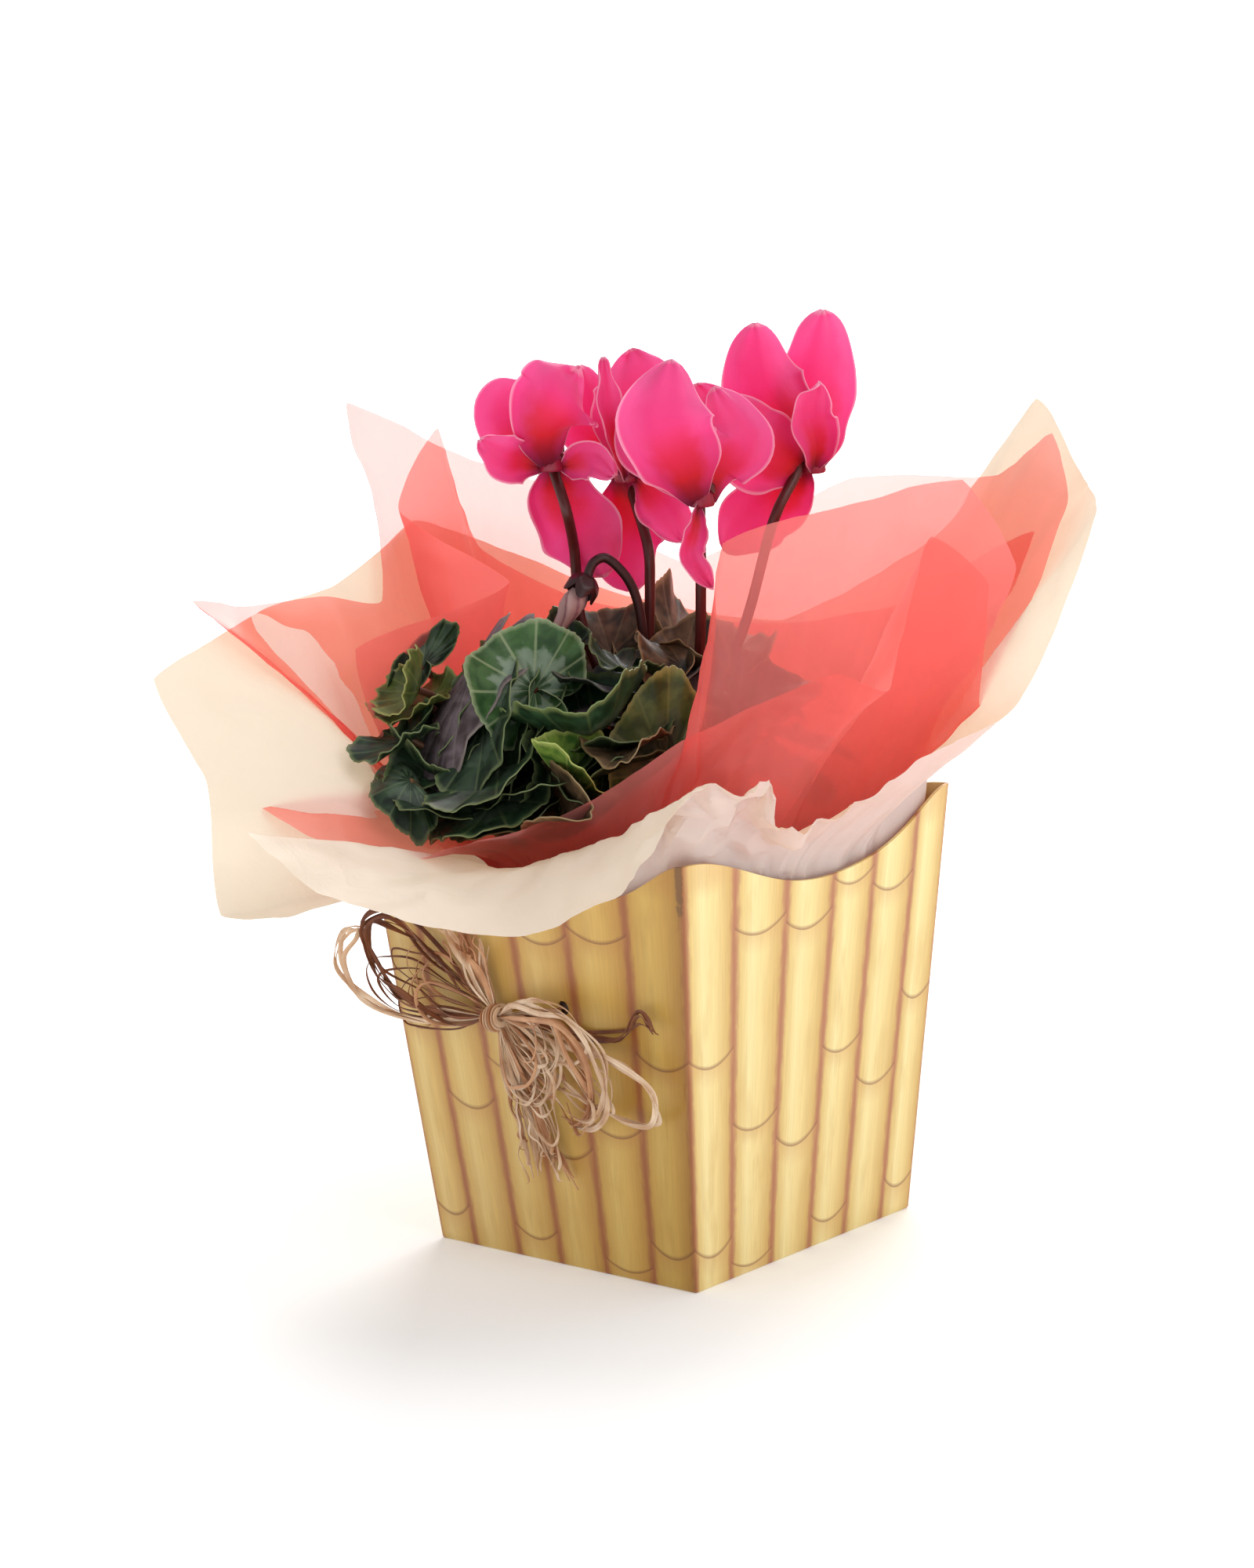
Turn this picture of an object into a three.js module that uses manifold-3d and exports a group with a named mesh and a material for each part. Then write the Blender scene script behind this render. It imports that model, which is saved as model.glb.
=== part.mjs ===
// A potted cyclamen in a printed card box, wrapped in cream paper and coral film and tied with raffia.
// Millimetres, +Z up. The origin is the middle of the box's bottom; the bow is on the -Y face.
import * as THREE from 'three';
import { mergeVertices } from 'three/addons/utils/BufferGeometryUtils.js';
import Module from 'manifold-3d';

const wasm = await Module();
wasm.setup();

// ---------- driving dimensions ----------
const BOX_BASE = 120; // outer width of the card box at its bottom
const BOX_TOP = 148; // outer width at the rim's corners
const BOX_HEIGHT = 157; // height of the rim's corners
const RIM_DIP = 20; // how far the rim dips between two corners
const CARD = 1.1; // card thickness
const RIM_STEPS = 8; // straight runs that draw one side's scallop
const HOLE_RADIUS = 2.6; // punched holes for the tie
const HOLES = [{ x: -16, z: 93 }, { x: 12, z: 98 }];

const CLEARANCE = 0.35; // room that resting pieces keep from each other
const SHEET = 0.7; // modelled thickness of paper and film
const BAG_FLOOR = { cream: 1.9, outer: 2.95, inner: 4.0 }; // mid-height of each wrap on the box floor
const BAG_INSET = { cream: 3.1, outer: 5.0, inner: 6.9 }; // mid-surface inside the box's outer face
const BAG_FOOT_IN = 3; // how much further in the bag is at the box's floor
const BAG_OVER_RIM = 1.5; // height above the rim at which the flaps leave the bag
const BAG_CORNER = 8.5; // degrees each side of a diagonal that the bag's corner is cut off
const FLAP_STEPS = 5; // bends along a flap

const POT_FOOT = 4.8;
const POT_HEIGHT = 108;
const POT_TOP_RADIUS = 58.5;
const POT_BASE_RADIUS = 43;
const POT_WALL = 1.4;
const POT_SIDES = 14;
const POT_LIP = 1.6; // how far the rim band stands out
const POT_BAND = 14; // height of the rim band
const DRAIN = { radius: 4, ring: 28, count: 4 }; // drain holes in the pot's floor
const SOIL_TOP = 104;
const CORM_RADIUS = 27;
const CORM_TOP = 113;
const CROWN_RADIUS = 23; // the dished crown of the corm, where every stalk stands
const CROWN_DEPTH = 3;
const ROUND_SIDES = 14; // sides of the corm's and crown's circles

const BLADE = 0.8; // leaf blade thickness
const PETAL = 0.8; // petal thickness
const PETIOLE_RADIUS = 1.3;
const PETIOLE_RISE = 26; // how far a petiole stands up before it leans out
const STEM_RADIUS = 1.9;
const STEM_RISE = 14; // the straight foot of a flower stem
const STALK_SIDES = { petiole: 5, stem: 6 };
const CROWN = new THREE.Vector3(0, 0, 128); // the point that every leaf faces away from

// ---------- small helpers ----------
const UP = new THREE.Vector3(0, 0, 1);
const radians = (degrees) => (degrees * Math.PI) / 180;
const around = (bearing, reach, height) =>
  new THREE.Vector3(reach * Math.cos(radians(bearing)), reach * Math.sin(radians(bearing)), height);
const point = ([x, y, z]) => new THREE.Vector3(x, y, z);
const halfWidth = (z) => (BOX_BASE + ((BOX_TOP - BOX_BASE) * z) / BOX_HEIGHT) / 2;

function solid(geometry) {
  const bare = geometry.clone();
  bare.deleteAttribute('normal');
  bare.deleteAttribute('uv');
  const merged = mergeVertices(bare, 1e-3);
  return new wasm.Manifold(new wasm.Mesh({
    numProp: 3,
    vertProperties: new Float32Array(merged.attributes.position.array),
    triVerts: new Uint32Array(merged.index.array),
  }));
}

function fused(bodies) {
  return bodies.reduce((whole, body) => whole.add(body));
}

// The largest single body of a cut piece; what a cut leaves loose is a scrap.
function mainBody(body) {
  return body.decompose().reduce((best, part) => (part.volume() > best.volume() ? part : best));
}

function geometryOf(body) {
  const mesh = body.getMesh();
  const geometry = new THREE.BufferGeometry();
  geometry.setAttribute('position', new THREE.BufferAttribute(new Float32Array(mesh.vertProperties), 3));
  geometry.setIndex(new THREE.BufferAttribute(new Uint32Array(mesh.triVerts), 1));
  geometry.computeVertexNormals();
  return geometry;
}

// A thin closed body around a surface: each point is moved half the thickness to both sides.
function thickened(points, faces, thickness) {
  const normals = points.map(() => new THREE.Vector3());
  const edges = new Map();
  for (const [a, b, c] of faces) {
    const ab = points[b].clone().sub(points[a]);
    const normal = ab.cross(points[c].clone().sub(points[a]));
    for (const corner of [a, b, c]) normals[corner].add(normal);
    for (const [from, to] of [[a, b], [b, c], [c, a]]) edges.set(`${from},${to}`, [from, to]);
  }
  const count = points.length;
  const positions = [];
  for (const side of [0.5, -0.5]) {
    for (let i = 0; i < count; i += 1) {
      const moved = points[i].clone().addScaledVector(normals[i].clone().normalize(), side * thickness);
      positions.push(moved.x, moved.y, moved.z);
    }
  }
  const index = [];
  for (const [a, b, c] of faces) {
    index.push(a, b, c, count + a, count + c, count + b);
  }
  for (const [from, to] of edges.values()) {
    if (!edges.has(`${to},${from}`)) {
      index.push(to, from, count + from, to, count + from, count + to);
    }
  }
  const geometry = new THREE.BufferGeometry();
  geometry.setAttribute('position', new THREE.Float32BufferAttribute(positions, 3));
  geometry.setIndex(index);
  return solid(geometry);
}

function polygon(radius, sides) {
  const corners = [];
  for (let i = 0; i < sides; i += 1) {
    const angle = (2 * Math.PI * i) / sides;
    corners.push(new THREE.Vector2(radius * Math.cos(angle), radius * Math.sin(angle)));
  }
  return new THREE.Shape(corners);
}

function tube(curve, radius, sides, steps) {
  return solid(new THREE.ExtrudeGeometry(polygon(radius, sides), {
    steps, extrudePath: curve, bevelEnabled: false,
  }));
}

function lathed(profile, sides) {
  const geometry = new THREE.LatheGeometry(profile.map(([r, z]) => new THREE.Vector2(r, z)), sides);
  geometry.rotateX(Math.PI / 2);
  return geometry;
}

function peg(radius, height, sides, centre) {
  const geometry = new THREE.CylinderGeometry(radius, radius, height, sides);
  geometry.rotateX(Math.PI / 2);
  geometry.translate(centre.x, centre.y, centre.z);
  return solid(geometry);
}

// ---------- the folded card box ----------
// The rim rises steeply to one corner of each side and more gently to the other.
function rimHeight(along) {
  const t = (along + 1) / 2;
  const skewed = t - 0.12 * Math.sin(Math.PI * t ** 3);
  return BOX_HEIGHT - RIM_DIP * Math.sin(Math.PI * skewed) ** 2;
}

function wallPoint(side, along, z, inset) {
  const half = halfWidth(z) - inset;
  return new THREE.Vector3(along * half, -half, z).applyAxisAngle(UP, radians(90 * side));
}

function cardBox() {
  const rings = [[], [], [], []];
  for (let side = 0; side < 4; side += 1) {
    for (let step = 0; step < RIM_STEPS; step += 1) {
      const along = -1 + (2 * step) / RIM_STEPS;
      const rim = rimHeight(along);
      rings[0].push(wallPoint(side, along, 0, 0));
      rings[1].push(wallPoint(side, along, rim, 0));
      rings[2].push(wallPoint(side, along, rim, CARD));
      rings[3].push(wallPoint(side, along, CARD, CARD));
    }
  }
  const count = 4 * RIM_STEPS;
  const points = [...rings.flat(), new THREE.Vector3(0, 0, 0), new THREE.Vector3(0, 0, CARD)];
  const [underside, floor] = [4 * count, 4 * count + 1];
  const index = [];
  for (let i = 0; i < count; i += 1) {
    const next = (i + 1) % count;
    for (let ring = 0; ring < 3; ring += 1) {
      const low = ring * count;
      const high = low + count;
      index.push(low + i, low + next, high + next, low + i, high + next, high + i);
    }
    index.push(underside, next, i);
    index.push(floor, 3 * count + i, 3 * count + next);
  }
  const geometry = new THREE.BufferGeometry();
  const positions = points.flatMap((p) => p.toArray());
  geometry.setAttribute('position', new THREE.Float32BufferAttribute(positions, 3));
  geometry.setIndex(index);
  let box = solid(geometry);
  for (const hole of HOLES) {
    const punch = new THREE.CylinderGeometry(HOLE_RADIUS, HOLE_RADIUS, 8, 8);
    punch.translate(hole.x, -halfWidth(hole.z), hole.z);
    box = box.subtract(solid(punch));
  }
  return box;
}

// ---------- the wraps: a bag against the box's walls, then flaps ----------
// A flap row is [bearing at the wall, bearing, reach and height of its tip, lift, pull]:
// lift is how far it rises before it leans out, pull how early it turns towards its tip.
const CREAM_FLAPS = [
  [21, 29, 130, 190, 9, 0.35], [33, 40, 159, 254, 20, 0.3], [51, 58, 164, 261, 20, 0.3],
  [66, 74, 174, 280, 20, 0.3], [91, 84, 145, 228, 20, 0.3], [121, 107, 123, 198, 16, 0.3],
  [146, 135, 120, 208, 14, 0.3], [171, 158, 120, 231, 18, 0.3], [196, 183, 107, 250, 22, 0.3],
  [213, 206, 120, 213, 14, 0.35], [225, 218, 111, 178, 10, 0.35], [235, 222, 153, 223, 14, 0.45],
  [243, 228, 176, 213, 12, 0.45], [253, 239, 164, 181, 11, 0.5], [259, 248, 170, 140, 10, 0.55],
  [264, 263, 145, 148, 9, 0.5], [269, 259, 176, 177, 9, 0.5], [274, 268, 169, 159, 10, 0.6],
  [279, 279, 162, 151, 11, 0.6], [285, 288, 156, 146, 11, 0.6], [292, 298, 150, 149, 11, 0.6],
  [299, 306, 140, 159, 10, 0.55], [304, 313, 124, 178, 9, 0.5], [309, 320, 107, 187, 9, 0.35],
  [317, 329, 105, 180, 9, 0.35], [325, 333, 99, 185, 9, 0.35], [333, 337, 98, 166, 9, 0.35],
  [343, 349, 96, 166, 9, 0.35], [356, 368, 106, 179, 9, 0.35],
];
const OUTER_FLAPS = [
  [10, 24, 123, 237, 22, 0.3], [26, 31, 116, 190, 12, 0.3], [37, 44, 150, 257, 24, 0.3],
  [53, 56, 152, 276, 28, 0.3], [71, 70, 147, 256, 24, 0.3], [101, 92, 121, 254, 26, 0.3],
  [126, 123, 105, 215, 16, 0.3], [149, 144, 107, 230, 18, 0.3], [171, 167, 108, 267, 28, 0.3],
  [189, 189, 126, 294, 34, 0.3], [204, 197, 106, 257, 22, 0.3], [217, 214, 120, 234, 16, 0.35],
  [225, 223, 161, 237, 24, 0.4], [234, 235, 104, 209, 16, 0.35], [242, 242, 99, 174, 13, 0.35],
  [248, 242, 147, 172, 15, 0.4], [257, 262, 121, 157, 13, 0.35], [274, 278, 114, 164, 12, 0.35],
  [291, 289, 102, 166, 12, 0.35], [303, 321, 96, 201, 12, 0.35], [321, 348, 104, 217, 16, 0.35],
  [331, 356, 112, 209, 16, 0.35], [344, 361, 108, 216, 16, 0.35], [357, 373, 111, 257, 28, 0.3],
];
const INNER_FLAPS = [
  [6, 19, 118, 275, 36, 0.3], [16, 30, 131, 240, 28, 0.3], [31, 36, 113, 202, 14, 0.3],
  [46, 46, 141, 255, 28, 0.3], [71, 70, 122, 248, 28, 0.3], [101, 96, 98, 213, 18, 0.3],
  [126, 123, 83, 206, 16, 0.3], [149, 150, 88, 216, 14, 0.3], [167, 172, 93, 238, 20, 0.3],
  [181, 183, 94, 285, 34, 0.3], [196, 198, 97, 259, 24, 0.3], [205, 193, 55, 233, 18, 0.3],
  [212, 209, 65, 228, 18, 0.3], [225, 226, 105, 218, 20, 0.35], [235, 233, 95, 176, 15, 0.3],
  [244, 243, 93, 160, 12, 0.3], [255, 254, 96, 156, 14, 0.3], [277, 274, 83, 157, 14, 0.3],
  [291, 290, 81, 163, 14, 0.3], [303, 321, 85, 198, 18, 0.3], [311, 324, 86, 219, 18, 0.3],
  [319, 328, 88, 264, 36, 0.3], [341, 356, 96, 272, 36, 0.3],
];

// The bag's plan is the box's square with its corners cut off.
function bagPoint(bearing, z, inset) {
  const half = halfWidth(z) - inset;
  const quarter = ((bearing % 90) + 90) % 90;
  const fromDiagonal = Math.abs(quarter - 45);
  let reach = half / Math.cos(radians(45 - fromDiagonal));
  if (fromDiagonal < BAG_CORNER) {
    const corner = half / Math.cos(radians(45 - BAG_CORNER));
    reach = (corner * Math.cos(radians(BAG_CORNER))) / Math.cos(radians(fromDiagonal));
  }
  return around(bearing, reach, z);
}

// The flap rows, with a row at each turn of the bag's plan: the nearest one, or else one blended in.
function withCorners(flaps) {
  const rows = flaps.map((row) => [...row]);
  for (const diagonal of [45, 135, 225, 315]) {
    for (const bearing of [diagonal - BAG_CORNER, diagonal + BAG_CORNER]) {
      const near = rows.find((row) => Math.abs(row[0] - bearing) < 2.5);
      const after = flaps.findIndex((row) => row[0] > bearing);
      if (near) {
        near[0] = bearing;
      } else {
        const low = flaps[after - 1];
        const high = flaps[after];
        const share = (bearing - low[0]) / (high[0] - low[0]);
        rows.push(low.map((value, k) => (k ? value + (high[k] - value) * share : bearing)));
      }
    }
  }
  return rows.sort((a, b) => a[0] - b[0]);
}

// The rim's height where a bearing crosses it; each side spans 90 degrees from one corner to the next.
function rimAt(bearing) {
  const fromMiddle = ((((bearing + 45) % 90) + 90) % 90) - 45;
  return rimHeight(Math.tan(radians(fromMiddle)));
}

function flapCurve([wallBearing, bearing, reach, height, lift, pull], inset) {
  const root = bagPoint(wallBearing, rimAt(wallBearing) + BAG_OVER_RIM, inset);
  const outward = new THREE.Vector3(root.x, root.y, 0).normalize();
  const rise = root.clone().addScaledVector(UP, lift).addScaledVector(outward, 0.09 * lift);
  const tip = around(bearing, reach, height);
  const turn = tip.clone().lerp(rise, pull);
  return new THREE.CubicBezierCurve3(root, rise, turn, tip);
}

function wrap(flaps, floor, inset, thickness = SHEET) {
  const rows = withCorners(flaps);
  const points = [new THREE.Vector3(0, 0, floor)];
  for (const row of rows) {
    points.push(bagPoint(row[0], floor, inset + BAG_FOOT_IN), ...flapCurve(row, inset).getPoints(FLAP_STEPS));
  }
  const rings = FLAP_STEPS + 2;
  const faces = [];
  for (let i = 0; i < rows.length; i += 1) {
    const here = 1 + i * rings;
    const next = 1 + ((i + 1) % rows.length) * rings;
    faces.push([0, here, next]);
    for (let k = 0; k < rings - 1; k += 1) {
      faces.push([here + k, here + k + 1, next + k + 1], [here + k, next + k + 1, next + k]);
    }
  }
  return thickened(points, faces.map(([a, b, c]) => [a, c, b]), thickness);
}

// ---------- pot, soil and corm ----------
function growPot() {
  const rim = POT_TOP_RADIUS + POT_LIP;
  const neck = POT_TOP_RADIUS - 1;
  const top = POT_FOOT + POT_HEIGHT;
  let pot = solid(lathed([
    [0, POT_FOOT], [POT_BASE_RADIUS, POT_FOOT], [neck, top - POT_BAND], [rim, top - POT_BAND],
    [rim, top], [rim - POT_WALL, top], [neck - POT_WALL, top - POT_BAND - 1],
    [POT_BASE_RADIUS - POT_WALL, POT_FOOT + POT_WALL], [0, POT_FOOT + POT_WALL],
  ], POT_SIDES));
  for (let i = 0; i < DRAIN.count; i += 1) {
    const bearing = 45 + (360 * i) / DRAIN.count;
    pot = pot.subtract(peg(DRAIN.radius, 12, 6, around(bearing, DRAIN.ring, POT_FOOT)));
  }
  return pot;
}

const CORM_PROFILE = [
  [0, CORM_TOP - 24], [15, CORM_TOP - 21], [CORM_RADIUS - 3, CORM_TOP - 14], [CORM_RADIUS, CORM_TOP - 7],
  [CORM_RADIUS - 2, CORM_TOP - 1], [CORM_RADIUS - 3.5, CORM_TOP], [0, CORM_TOP],
];

function cormBody(grow) {
  const middle = CORM_TOP - 12;
  const grown = CORM_PROFILE.map(([r, z]) => [r ? r + grow : 0, z + grow * Math.sign(z - middle)]);
  return solid(lathed(grown, ROUND_SIDES));
}

function pottingSoil() {
  const gap = CLEARANCE;
  const low = POT_FOOT + POT_WALL + gap;
  const base = POT_BASE_RADIUS - POT_WALL - gap;
  const slope = (POT_TOP_RADIUS - 1 - POT_BASE_RADIUS) / (POT_HEIGHT - POT_BAND);
  const edge = base + slope * (SOIL_TOP - POT_FOOT - 9);
  const soil = lathed([[0, low], [base, low], [edge, SOIL_TOP - 8], [edge - 3, SOIL_TOP],
    [44, SOIL_TOP - 1.5], [36, SOIL_TOP + 1], [0, SOIL_TOP + 1]], POT_SIDES);
  const positions = soil.attributes.position;
  for (let i = 0; i < positions.count; i += 1) {
    const [x, y, z] = [positions.getX(i), positions.getY(i), positions.getZ(i)];
    if (z > SOIL_TOP - 2 && Math.hypot(x, y) > 10) {
      positions.setZ(i, z + 0.9 * Math.sin(0.37 * x + 1) * Math.cos(0.31 * y));
    }
  }
  const mouth = peg(CORM_RADIUS - 3, 12, ROUND_SIDES, around(0, 0, SOIL_TOP));
  return solid(soil).subtract(cormBody(CLEARANCE)).subtract(mouth);
}

// ---------- stalks ----------
function footPoint(bearing, ring) {
  return around(bearing, ring, CORM_TOP - CROWN_DEPTH + CLEARANCE);
}

// A petiole stands up from the crown, leans out and meets the blade's underside at a slant.
function petioleCurve(leaf) {
  const { junction, normal, ahead, foot } = leaf;
  const rise = foot.clone().addScaledVector(UP, PETIOLE_RISE);
  const arrive = junction.clone().addScaledVector(normal, -13).addScaledVector(ahead, -8);
  const end = junction.clone().addScaledVector(normal, -0.1);
  return new THREE.CubicBezierCurve3(foot, rise, arrive, end);
}

function petioleBody(leaf, grow) {
  return tube(petioleCurve(leaf), PETIOLE_RADIUS + grow, STALK_SIDES.petiole, 4);
}

// ---------- leaves ----------
// A leaf row is [tier, junction, tip, width, roll, cup, fold, wave]. Junction and tip are
// [bearing, reach, height]; the junction is where the stalk meets the blade.
const LEAVES = [
  ['A', [235, 74, 171], [233, 90, 173], 34, 4, 3, 0, 2],
  ['A', [249, 97, 178], [248, 108, 178], 40, -5, -6, 0, 2],
  ['A', [262, 75, 171], [270, 96, 165], 38, -18, -5, 0, 2],
  ['A', [259, 69, 182], [268, 95, 174], 38, -6, -6, 0, 2],
  ['A', [282, 69, 166], [294, 84, 169], 21, -9, 4, 6, 3],
  ['A', [273, 52, 170], [282, 63, 173], 36, 20, 3, 0, 2],
  ['A', [300, 47, 188], [304, 72, 187], 25, 3, 3, 0, 2],
  ['A', [333, 57, 181], [324, 70, 191], 28, -5, 3, 0, 2],
  ['A', [229, 81, 198], [225, 96, 193], 28, 8, 3, 0, 2],
  ['A', [238, 90, 189], [236, 105, 182], 25, 7, 3, 0, 2],
  ['B', [249, 67, 196], [264, 84, 179], 38, 6, 3, 0, 2],
  ['B', [282, 47, 191], [293, 67, 193], 40, -9, 3, 0, 2],
  ['B', [273, 36, 199], [275, 61, 198], 21, 9, -4, 0, 1],
  ['B', [284, 58, 173], [280, 79, 187], 19, 17, 3, 8, 2],
  ['B', [315, 50, 178], [318, 42, 201], 32, -1, 3, 0, 2],
  ['B', [340, 37, 186], [351, 22, 200], 28, -1, 3, 0, 2],
  ['B', [232, 84, 204], [239, 90, 198], 21, 4, 3, 6, 1],
  ['B', [240, 67, 210], [247, 89, 184], 30, -2, -4, 0, 2],
  ['B', [220, 81, 209], [219, 86, 213], 32, 3, 3, 0, 2],
  ['C', [260, 53, 210], [249, 66, 222], 45, 13, 5, 0, 3],
  ['C', [305, 21, 203], [276, 42, 204], 28, 10, 3, 0, 2],
  ['C', [238, 34, 211], [222, 32, 218], 23, -6, 3, 0, 2],
  ['C', [286, 20, 208], [276, 32, 212], 21, -6, 3, 0, 2],
  ['C', [350, 17, 212], [21, 6, 219], 26, -2, 3, 0, 2],
  ['C', [185, 18, 213], [174, 24, 228], 28, -1, 3, 0, 2],
  ['C', [91, 17, 214], [116, 31, 229], 23, 14, 3, 0, 2],
  ['A', [80, 46, 187], [88, 72, 176], 36, 6, 3, 0, 2],
  ['A', [112, 49, 180], [122, 71, 165], 36, 1, 3, 0, 2],
  ['A', [142, 49, 174], [148, 73, 165], 36, 11, 3, 0, 2],
  ['A', [174, 42, 173], [187, 64, 160], 38, -13, 3, 0, 2],
  ['A', [50, 43, 178], [48, 69, 167], 34, -5, 3, 0, 2],
  ['A', [11, 44, 174], [18, 66, 158], 32, 0, 3, 0, 2],
  ['C', [76, 31, 201], [98, 47, 204], 32, -28, 3, 0, 2],
  ['C', [166, 21, 202], [177, 48, 202], 32, -15, 3, 0, 2],
  ['C', [21, 28, 195], [34, 49, 193], 30, 22, 3, 0, 2],
];
const FOOT_RING = { A: 19, B: 14, C: 9.5 };
const TEETH = 9; // teeth round one blade
const TOOTH = 0.035; // how far a tooth stands out, as a share of the blade

function readLeaf([tier, at, tip, width, roll, cup, fold, wave], number) {
  const junction = around(...at);
  const ahead = around(...tip).sub(junction);
  const length = ahead.length();
  ahead.normalize();
  const normal = junction.clone().sub(CROWN);
  normal.addScaledVector(ahead, -normal.dot(ahead)).normalize().applyAxisAngle(ahead, radians(roll));
  const side = normal.clone().cross(ahead);
  return { tier, number, bearing: at[0], junction, ahead, normal, side, length, width, cup, fold, wave };
}

function readLeaves() {
  const leaves = LEAVES.map(readLeaf);
  for (const tier of 'ABC') {
    const ring = leaves.filter((leaf) => leaf.tier === tier).sort((a, b) => a.bearing - b.bearing);
    const turn = (leaf, k) => radians(leaf.bearing - (360 * k) / ring.length);
    const east = ring.reduce((sum, leaf, k) => sum + Math.cos(turn(leaf, k)), 0);
    const north = ring.reduce((sum, leaf, k) => sum + Math.sin(turn(leaf, k)), 0);
    const start = (Math.atan2(north, east) * 180) / Math.PI;
    ring.forEach((leaf, k) => {
      leaf.foot = footPoint(start + (360 * k) / ring.length, FOOT_RING[tier]);
    });
  }
  return leaves;
}

// A heart-shaped blade, drawn round the junction: angle 0 is the tip and 180 the notch.
function bladePoint(leaf, angle, share) {
  const forward = Math.cos(angle);
  const across = Math.sin(angle);
  const notch = Math.min(1, (Math.PI - Math.abs(angle)) / radians(32));
  const open = 0.14 + 0.86 * Math.sqrt(notch * (2 - notch));
  const run = forward > 0 ? 1 + 0.1 * forward ** 8 : 0.62;
  const x = share * open * run * leaf.length * forward;
  const y = (share * open * leaf.width * across) / 2;
  const bowl = leaf.cup * share ** 2;
  const crease = leaf.fold * Math.abs(share * across);
  const ripple = leaf.wave * share ** 2 * Math.sin(3 * angle + leaf.number);
  return leaf.junction.clone().addScaledVector(leaf.ahead, x).addScaledVector(leaf.side, y)
    .addScaledVector(leaf.normal, bowl + crease + ripple);
}

function bladeBody(leaf, thickness) {
  const outline = 2 * TEETH;
  const points = [leaf.junction.clone()];
  const angleAt = (i) => -Math.PI + (2 * Math.PI * i) / outline;
  for (let j = 0; j < TEETH; j += 1) {
    points.push(bladePoint(leaf, angleAt(2 * j + 1), 0.55));
  }
  for (let i = 0; i < outline; i += 1) {
    const tooth = i % 2 ? 1 + TOOTH : 1 - TOOTH;
    points.push(bladePoint(leaf, angleAt(i), tooth));
  }
  const inner = (j) => 1 + j;
  const outer = (i) => 1 + TEETH + i;
  const faces = [];
  for (let j = 0; j < TEETH - 1; j += 1) {
    faces.push([0, inner(j), inner(j + 1)]);
    faces.push([inner(j), outer(2 * j + 1), outer(2 * j + 2)]);
    faces.push([inner(j), outer(2 * j + 2), inner(j + 1)]);
    faces.push([inner(j + 1), outer(2 * j + 2), outer(2 * j + 3)]);
  }
  // the notch between the two back lobes stays open down to its own deepest point
  faces.push([0, inner(TEETH - 1), outer(0)]);
  faces.push([0, outer(0), inner(0)]);
  return thickened(points, faces, thickness);
}

// ---------- blooms ----------
// A petal row is [a third of the way, two thirds, tip, width, cup, facing bearing, wave].
const BLOOMS = [
  { mouth: [-21, -25, 278], foot: 216,
    stem: [[-17, -27, 270], [-15, -25, 265], [-20, -16, 249], [-21, -13, 223], [-12, -11, 195]],
    petals: [
      [[-14, -37, 296], [-8, -34, 308], [-10, -22, 314], 30, -0.35, 311, 1.5],
      [[-36, -21, 287], [-43, -19, 295], [-36, -16, 306], 24, -0.3, 311, 1.5],
      [[-26, -34, 282], [-28, -43, 285], [-32, -49, 292], 15, 0.3, 341, 1.5],
      [[-26, -15, 268], [-19, -11, 254], [-13, -8, 238], 26, -0.25, 311, 1.5],
      [[-13, -22, 280], [-4, -22, 282], [4, -20, 277], 12, 0.3, 311, 1],
    ] },
  { mouth: [-12, 5, 270], foot: 144,
    stem: [[-5, 1, 260], [-1, 2, 247], [-1, 2, 235], [-3, 2, 205]],
    petals: [
      [[-4, -1, 287], [-4, 4, 303], [-11, 9, 317], 27, -0.3, 311, 1.5],
      [[-4, -9, 285], [-4, -14, 300], [-7, -11, 317], 9, 0.5, 341, 0.5],
      [[-23, 7, 279], [-32, 6, 292], [-33, 6, 310], 22, -0.3, 311, 1.5],
      [[-15, 5, 261], [-15, 3, 246], [-10, 5, 231], 24, -0.25, 311, 1.5],
      [[-2, 4, 269], [6, 5, 261], [11, 7, 250], 16, -0.25, 311, 1.5],
    ] },
  { mouth: [33, -8, 267], foot: 0,
    stem: [[29, -4, 257], [27, -3, 241], [20, 2, 207]],
    petals: [
      [[37, -21, 282], [35, -28, 299], [32, -20, 320], 30, -0.3, 311, 1.5],
      [[39, -6, 280], [44, 2, 290], [35, -1, 308], 22, -0.3, 341, 1.5],
      [[22, -10, 279], [12, -13, 291], [11, -12, 306], 18, -0.3, 301, 1],
      [[25, 4, 280], [24, 8, 293], [20, 7, 307], 22, -0.3, 311, 1],
      [[36, -16, 261], [37, -21, 252], [43, -16, 240], 9, 0.4, 341, 1],
    ] },
  { mouth: [36, 50, 270], foot: 72,
    stem: [[34, 38, 267], [33, 34, 260], [30, 32, 251], [24, 26, 223], [16, 19, 195]],
    petals: [
      [[29, 47, 285], [19, 43, 301], [17, 44, 323], 26, -0.3, 311, 1.5],
      [[33, 58, 283], [32, 63, 302], [33, 63, 326], 26, -0.3, 321, 1.5],
      [[43, 43, 281], [44, 38, 293], [50, 38, 305], 15, 0.35, 331, 1],
      [[35, 36, 276], [26, 25, 285], [16, 19, 300], 28, -0.25, 311, 1.5],
      [[25, 49, 263], [17, 41, 255], [9, 32, 242], 24, -0.25, 311, 1.5],
    ] },
];
const THROAT_RADIUS = 4.6;
const THROAT_HEIGHT = 8;
const PETAL_STEPS = 5;
const PETAL_COLUMNS = 3;
const STEM_RING = 4.8;

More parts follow.
